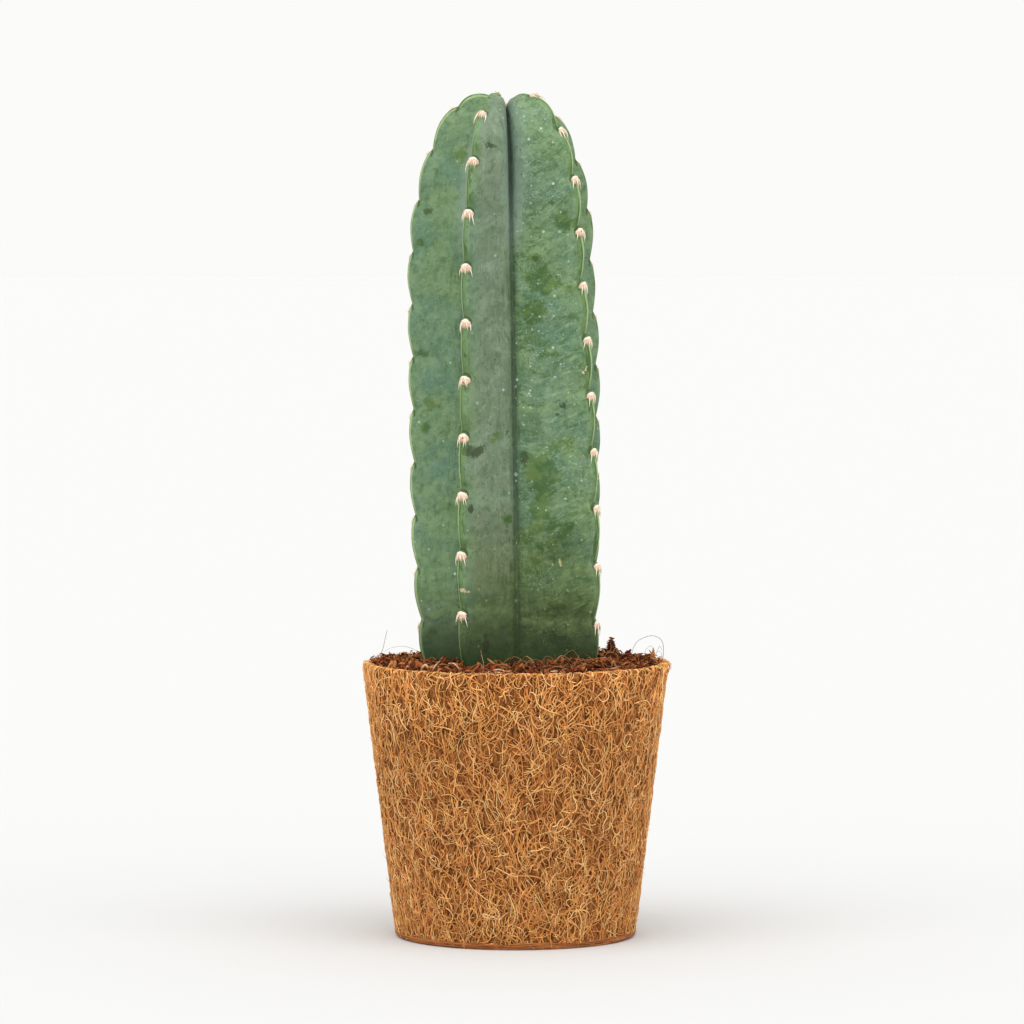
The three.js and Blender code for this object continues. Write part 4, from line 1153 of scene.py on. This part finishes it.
def felt_body(rng, columns=300):
    """The felted body as a closed solid turned from the section, a little inside the fibres, with
    random hollows on its outside."""
    along = np.concatenate([np.linspace(0, WALL_START - 3, 8), np.arange(WALL_START - 2, RIM_END, 1.0),
                            [PROFILE_S[-2], PROFILE_S[-1]]])[:, None]
    angle = round_angles(columns)
    across, up = np.broadcast_arrays((FOOT_RADIUS + RIM_RADIUS) / 2 * angle, along)
    hollow = sum(value_noise(rng, across, up, size) for size in HOLLOW_SIZES)
    outside = smoothstep(along, WALL_START - 2.5, WALL_START) * (along <= RIM_END)
    points = pot_at(along, angle, -outside * (BODY_SUNK + HOLLOWS * (hollow - 1)))
    rows = len(along)
    points = np.concatenate([points.reshape(-1, 3), [[0, 0, 0], [0, 0, FLOOR]]])
    last = (rows - 1) * columns
    under = pole_faces(np.arange(columns)[::-1], len(points) - 2)
    floor = pole_faces(np.arange(last, last + columns), len(points) - 1)
    return points, [grid_faces(rows, columns)[:, ::-1], under, floor]


def felt_fibres(rng, count, steps, length, radius, height, tones, spread, bend, lift):
    """Fibres laid on the pot: lines that wander on its unrolled skin, mostly upright, with their
    ends tucked into the felt and their middles riding over others by a sine. Returns the tubes
    and each point's colour, from dark brown through tan to pale gold."""
    lines = wander(rng, count, steps, rng.uniform(*length, count), math.pi / 2, spread,
                   rng.normal(0, bend, (count, 1)), 0.3)
    lines *= np.where(rng.random((count, 1, 1)) < 0.5, 1, -1)
    low, high = WALL_START - FIBRES_FROM, RIM_END - 0.5
    along = rng.uniform(low - 2, high + 2, (count, 1)) + lines[..., 1]
    tucked = smoothstep(along, high - 1.5, high + 1) + smoothstep(-along, -low - 1.0, -low + 1.5)
    along = np.clip(along, low, high)
    reach = np.interp(along, PROFILE_S, PROFILE[:, 0])
    angle = rng.uniform(0, 2 * math.pi, (count, 1)) + lines[..., 0] / reach
    t = np.linspace(0, 1, steps)
    ends = smoothstep(np.minimum(t, 1 - t), 0, 0.14)
    ride = np.sin(2 * math.pi * (t * rng.uniform(1, 3, (count, 1)) + rng.random((count, 1))))
    off = height + lift * (0.6 * ride + np.abs(rng.normal(0, 0.6, (count, 1))) * np.sin(math.pi * t))
    off = off - END_TUCK * (1 - ends) - EDGE_TUCK * np.clip(tucked, 0, 1)
    path = pot_at(along, angle, off)
    path[..., 2] = np.maximum(path[..., 2], 0.3)
    thick = radius * rng.uniform(0.6, 1.25, (count, 1)) * (0.55 + 0.45 * ends)
    # partly painted light: each layer's tone range, darker for lower layers as shade, paler for top ones
    # as highlights
    tone = rng.uniform(*tones, (count, 1)) + rng.normal(0, 0.06, (count, 1))
    dark, brown = point_paint(98, 54, 24), point_paint(188, 118, 57)
    tan, gold = point_paint(224, 158, 86), point_paint(248, 208, 142)
    share = np.clip(tone, 0, 1) * 3
    colours = np.where(share < 1, blend(dark, brown, share),
                       np.where(share < 2, blend(brown, tan, share - 1), blend(tan, gold, share - 2)))
    middle = along.mean(1, keepdims=True)
    near_rim = 1 + RIM_BRIGHTER * smoothstep(middle, WALL_END - BRIGHTER_OVER, WALL_END)
    colours = colours * near_rim * rng.uniform(0.93, 1.25, (count, 1))
    colours = colours * rng.uniform(0.95, 1.05, (count, 3))
    return *strands(path, thick), np.repeat(colours, steps * 3, 0)


def felt_finish():
    """Felted coir seen between the fibres: brown crumbs and fibre ends, kept darker than the fibres as
    painted shade of the gaps between them, darker in the hollows.
    """
    m = Finish("felted coir")
    fibres = m.noise(1.3, 4, 0.7, m.stretched(1, 1, 0.3))
    # partly painted shade: the body's browns are dark for the shade in the gaps under the fibres
    m.coats = m.mix(m.step(fibres, 0.35, 0.68), paint(74, 39, 17), paint(170, 107, 54))
    m.coat(paint(190, 126, 66), m.step(m.noise(0.8, 3, 0.6), 0.55, 0.7), 0.5)
    return m.finish(0.92, m.bump(fibres, 0.5), Specular_IOR_Level=0.15)


def coir_finish():
    """A single coir fibre: its own colour, with small darker joints and a slight waxy gloss."""
    m = Finish("coir fibre")
    m.coats = m.colour("tint")
    m.coat(paint(112, 64, 30), m.step(m.noise(2.2, 3, 0.6), 0.5, 0.72), 0.35)
    return m.finish(0.62, Specular_IOR_Level=0.3)


def pot_piece(name, material, points, faces, **values):
    """A piece of the pot: it stands for the CAD's pot, which it hides, and hangs from the root body."""
    piece = mesh_piece(name, material, points, faces, **values)
    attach(piece, "root")
    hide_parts("coir_pot")


draw = np.random.default_rng(31)
pot_piece("coir_body", felt_finish(), *felt_body(draw))
coir_material = coir_finish()
for name, *layer in FIBRE_LAYERS:
    points, faces, tints = felt_fibres(draw, *layer)
    pot_piece(name, coir_material, points, faces, tint=tints)


# ---------------------------------------------------------------- foot band and loose hairs
# Round the foot the fibres lie level, pressed smooth and redder. Short fibre ends stick out of the
# wall and the rim, and a few long, thin hairs have worked loose at the rim and in the growing medium.

BAND_FROM, BAND_TO = -2.9, 0.5     # along the section, from where the wall starts
BAND_RADIUS, FUZZ_RADIUS = 0.24, 0.11
FUZZ_ON_RIM, FUZZ_OFF_RIM, FUZZ_OFF_WALL = 0.45, 1.5, 1.9   # share on the rim, and how far they reach
FUZZ_TURN = 60.0                   # the distance from the axis by which fuzz turns round the pot
HAIR_STEPS = 28

LOOSE_HAIRS = [     # each hair's radius, then its listed points
    (0.13, [[-54.8, -4, 131], [-55.6, -4.5, 127.5], [-57, -5, 121.8], [-59, -5, 120],
            [-62.5, -5, 117]]),
    (0.08, [[-56, -8, 122], [-53, -9, 123.8], [-48, -10, 124.6], [-43.5, -10, 123.4],
            [-40, -9, 121]]),
    (0.13, [[49.5, -6, 121], [50.4, -7, 124.2], [52.8, -8, 127.2], [57.8, -8.5, 129],
            [61.6, -8, 127.6], [63, -7, 124.4], [62.8, -6, 118.5]]),
    (0.09, [[55, -9, 119], [55.4, -9.5, 122.8], [57.6, -10, 124.8], [58.6, -10, 122],
            [58.2, -9.5, 118.5]]),
    (0.08, [[59.5, -8, 118.5], [60.2, -8.5, 122], [61.4, -9, 124.6], [62.2, -9, 123]]),
    (0.08, [[57, -12, 118], [59, -13, 121.6], [61.6, -13.5, 122.6], [62.4, -13, 118]]),
]


def band_fibres(rng, count=440, steps=12):
    """Level fibres round the foot: lines round the pot that rise and fall by a sine, from the
    corner of the foot to 3 mm up the wall."""
    length = rng.uniform(12, 34, (count, 1))
    t = np.linspace(0, 1, steps)
    along = WALL_START + rng.uniform(BAND_FROM, BAND_TO, (count, 1))
    sway = rng.normal(0, 0.3, (count, 1))
    along = along + sway * np.sin(3 * t + rng.uniform(0, 6, (count, 1)))
    angle = rng.uniform(0, 2 * math.pi, (count, 1)) + length * t / FOOT_RADIUS
    ends = smoothstep(np.minimum(t, 1 - t), 0, 0.12)
    path = pot_at(along, angle, 0.05 + rng.uniform(0, 0.35, (count, 1)) - 0.9 * (1 - ends))
    path[..., 2] = np.maximum(path[..., 2], 0.25)
    radius = BAND_RADIUS * rng.uniform(0.7, 1.2, (count, 1)) * np.ones(steps)
    colours = blend(point_paint(138, 74, 34), point_paint(206, 134, 72), rng.random((count, 1)))
    return *strands(path, radius), np.repeat(colours, steps * 3, 0)


def fuzz(rng, count=520, steps=7):
    """Short free ends: each leaves the wall or the rim square to it and bends along it."""
    t = np.linspace(0, 1, steps)
    on_rim = rng.random((count, 1)) < FUZZ_ON_RIM
    along = np.where(on_rim, rng.uniform(WALL_END - 1, WALL_END + 3, (count, 1)),
                     rng.uniform(WALL_START, WALL_END, (count, 1)))
    length = rng.uniform(1.5, 5.0, (count, 1))
    lean = rng.normal(0, 0.8, (count, 2))
    reach = np.where(on_rim, FUZZ_OFF_RIM, FUZZ_OFF_WALL) * rng.uniform(0.4, 1, (count, 1))
    off = reach * np.sin(1.5 * t) - 0.3
    angle = rng.uniform(0, 2 * math.pi, (count, 1)) + lean[:, :1] * length * t / FUZZ_TURN
    path = pot_at(along + lean[:, 1:] * length * t, angle, off)
    path[..., 2] = np.maximum(path[..., 2], 0.2)
    radius = FUZZ_RADIUS * (1.15 - t) * np.ones((count, 1))
    colours = blend(point_paint(150, 96, 46), point_paint(240, 190, 122), rng.random((count, 1)))
    return *strands(path, radius), np.repeat(colours, steps * 3, 0)


for name, shape in (("coir_band", band_fibres), ("coir_fuzz", fuzz)):
    points, faces, tints = shape(draw)
    pot_piece(name, coir_material, points, faces, tint=tints)

paths = np.stack([through(knots, HAIR_STEPS) for _, knots in LOOSE_HAIRS])
radius = np.array([size for size, _ in LOOSE_HAIRS])[:, None] * np.linspace(0.7, 1, HAIR_STEPS)
points, faces = strands(paths, radius, 5)
tints = point_paint(150, 112, 78) * np.ones((len(points), 1))
pot_piece("loose_hairs", coir_material, points, faces, tint=tints)


# ---------------------------------------------------------------- floor, light and camera
# A pale, level studio floor under an even white sky, two wide soft lamps from the front left and
# front right, and the camera at the photograph's height and distance.

FLOOR_RADIUS = 30.0               # metres
EYE = (-1.5, -2264.0, 303.1)      # mm: the camera stands level with the cactus's shoulder
VIEW_PITCH = 3.08                 # degrees below the horizon
LENS, SENSOR = 186.75, 36.0
FLOOR_SIDES = 64
LAMPS = [("left_lamp", -44, 56, 0.95), ("right_lamp", 42, 56, 0.88)]   # heading, height, strength
LAMP_WIDTH = 50                   # degrees across, which softens the shadows

disc = around(FLOOR_RADIUS / MM, round_angles(FLOOR_SIDES), 0)
disc = np.concatenate([disc, [[0, 0, 0]]])
floor_finish = Finish("pale studio floor")
floor_finish.coats = paint(213.5, 213.5, 213)
floor_material = floor_finish.finish(0.9, Specular_IOR_Level=0.1)
floor_faces = [pole_faces(np.arange(FLOOR_SIDES), FLOOR_SIDES)]
studio_floor = mesh_piece("studio_floor", floor_material, disc, floor_faces)

world = bpy.data.worlds.new("white sky")
world.use_nodes = True
world.node_tree.nodes["Background"].inputs["Color"].default_value = paint(251, 251, 249)
bpy.context.scene.world = world
bpy.context.scene.view_settings.view_transform = "Standard"

for name, azimuth, elevation, strength in LAMPS:
    lamp = bpy.data.objects.new(name, bpy.data.lights.new(name, "SUN"))
    lamp.data.energy = strength
    lamp.data.angle = math.radians(LAMP_WIDTH)
    lamp.rotation_euler = (math.radians(90 - elevation), 0, math.radians(azimuth))
    bpy.context.scene.collection.objects.link(lamp)

camera = bpy.data.objects.new("camera", bpy.data.cameras.new("camera"))
camera.data.lens, camera.data.sensor_width = LENS, SENSOR
camera.location = [value * MM for value in EYE]
camera.rotation_euler = (math.radians(90 - VIEW_PITCH), 0, 0)
bpy.context.scene.collection.objects.link(camera)
bpy.context.scene.camera = camera
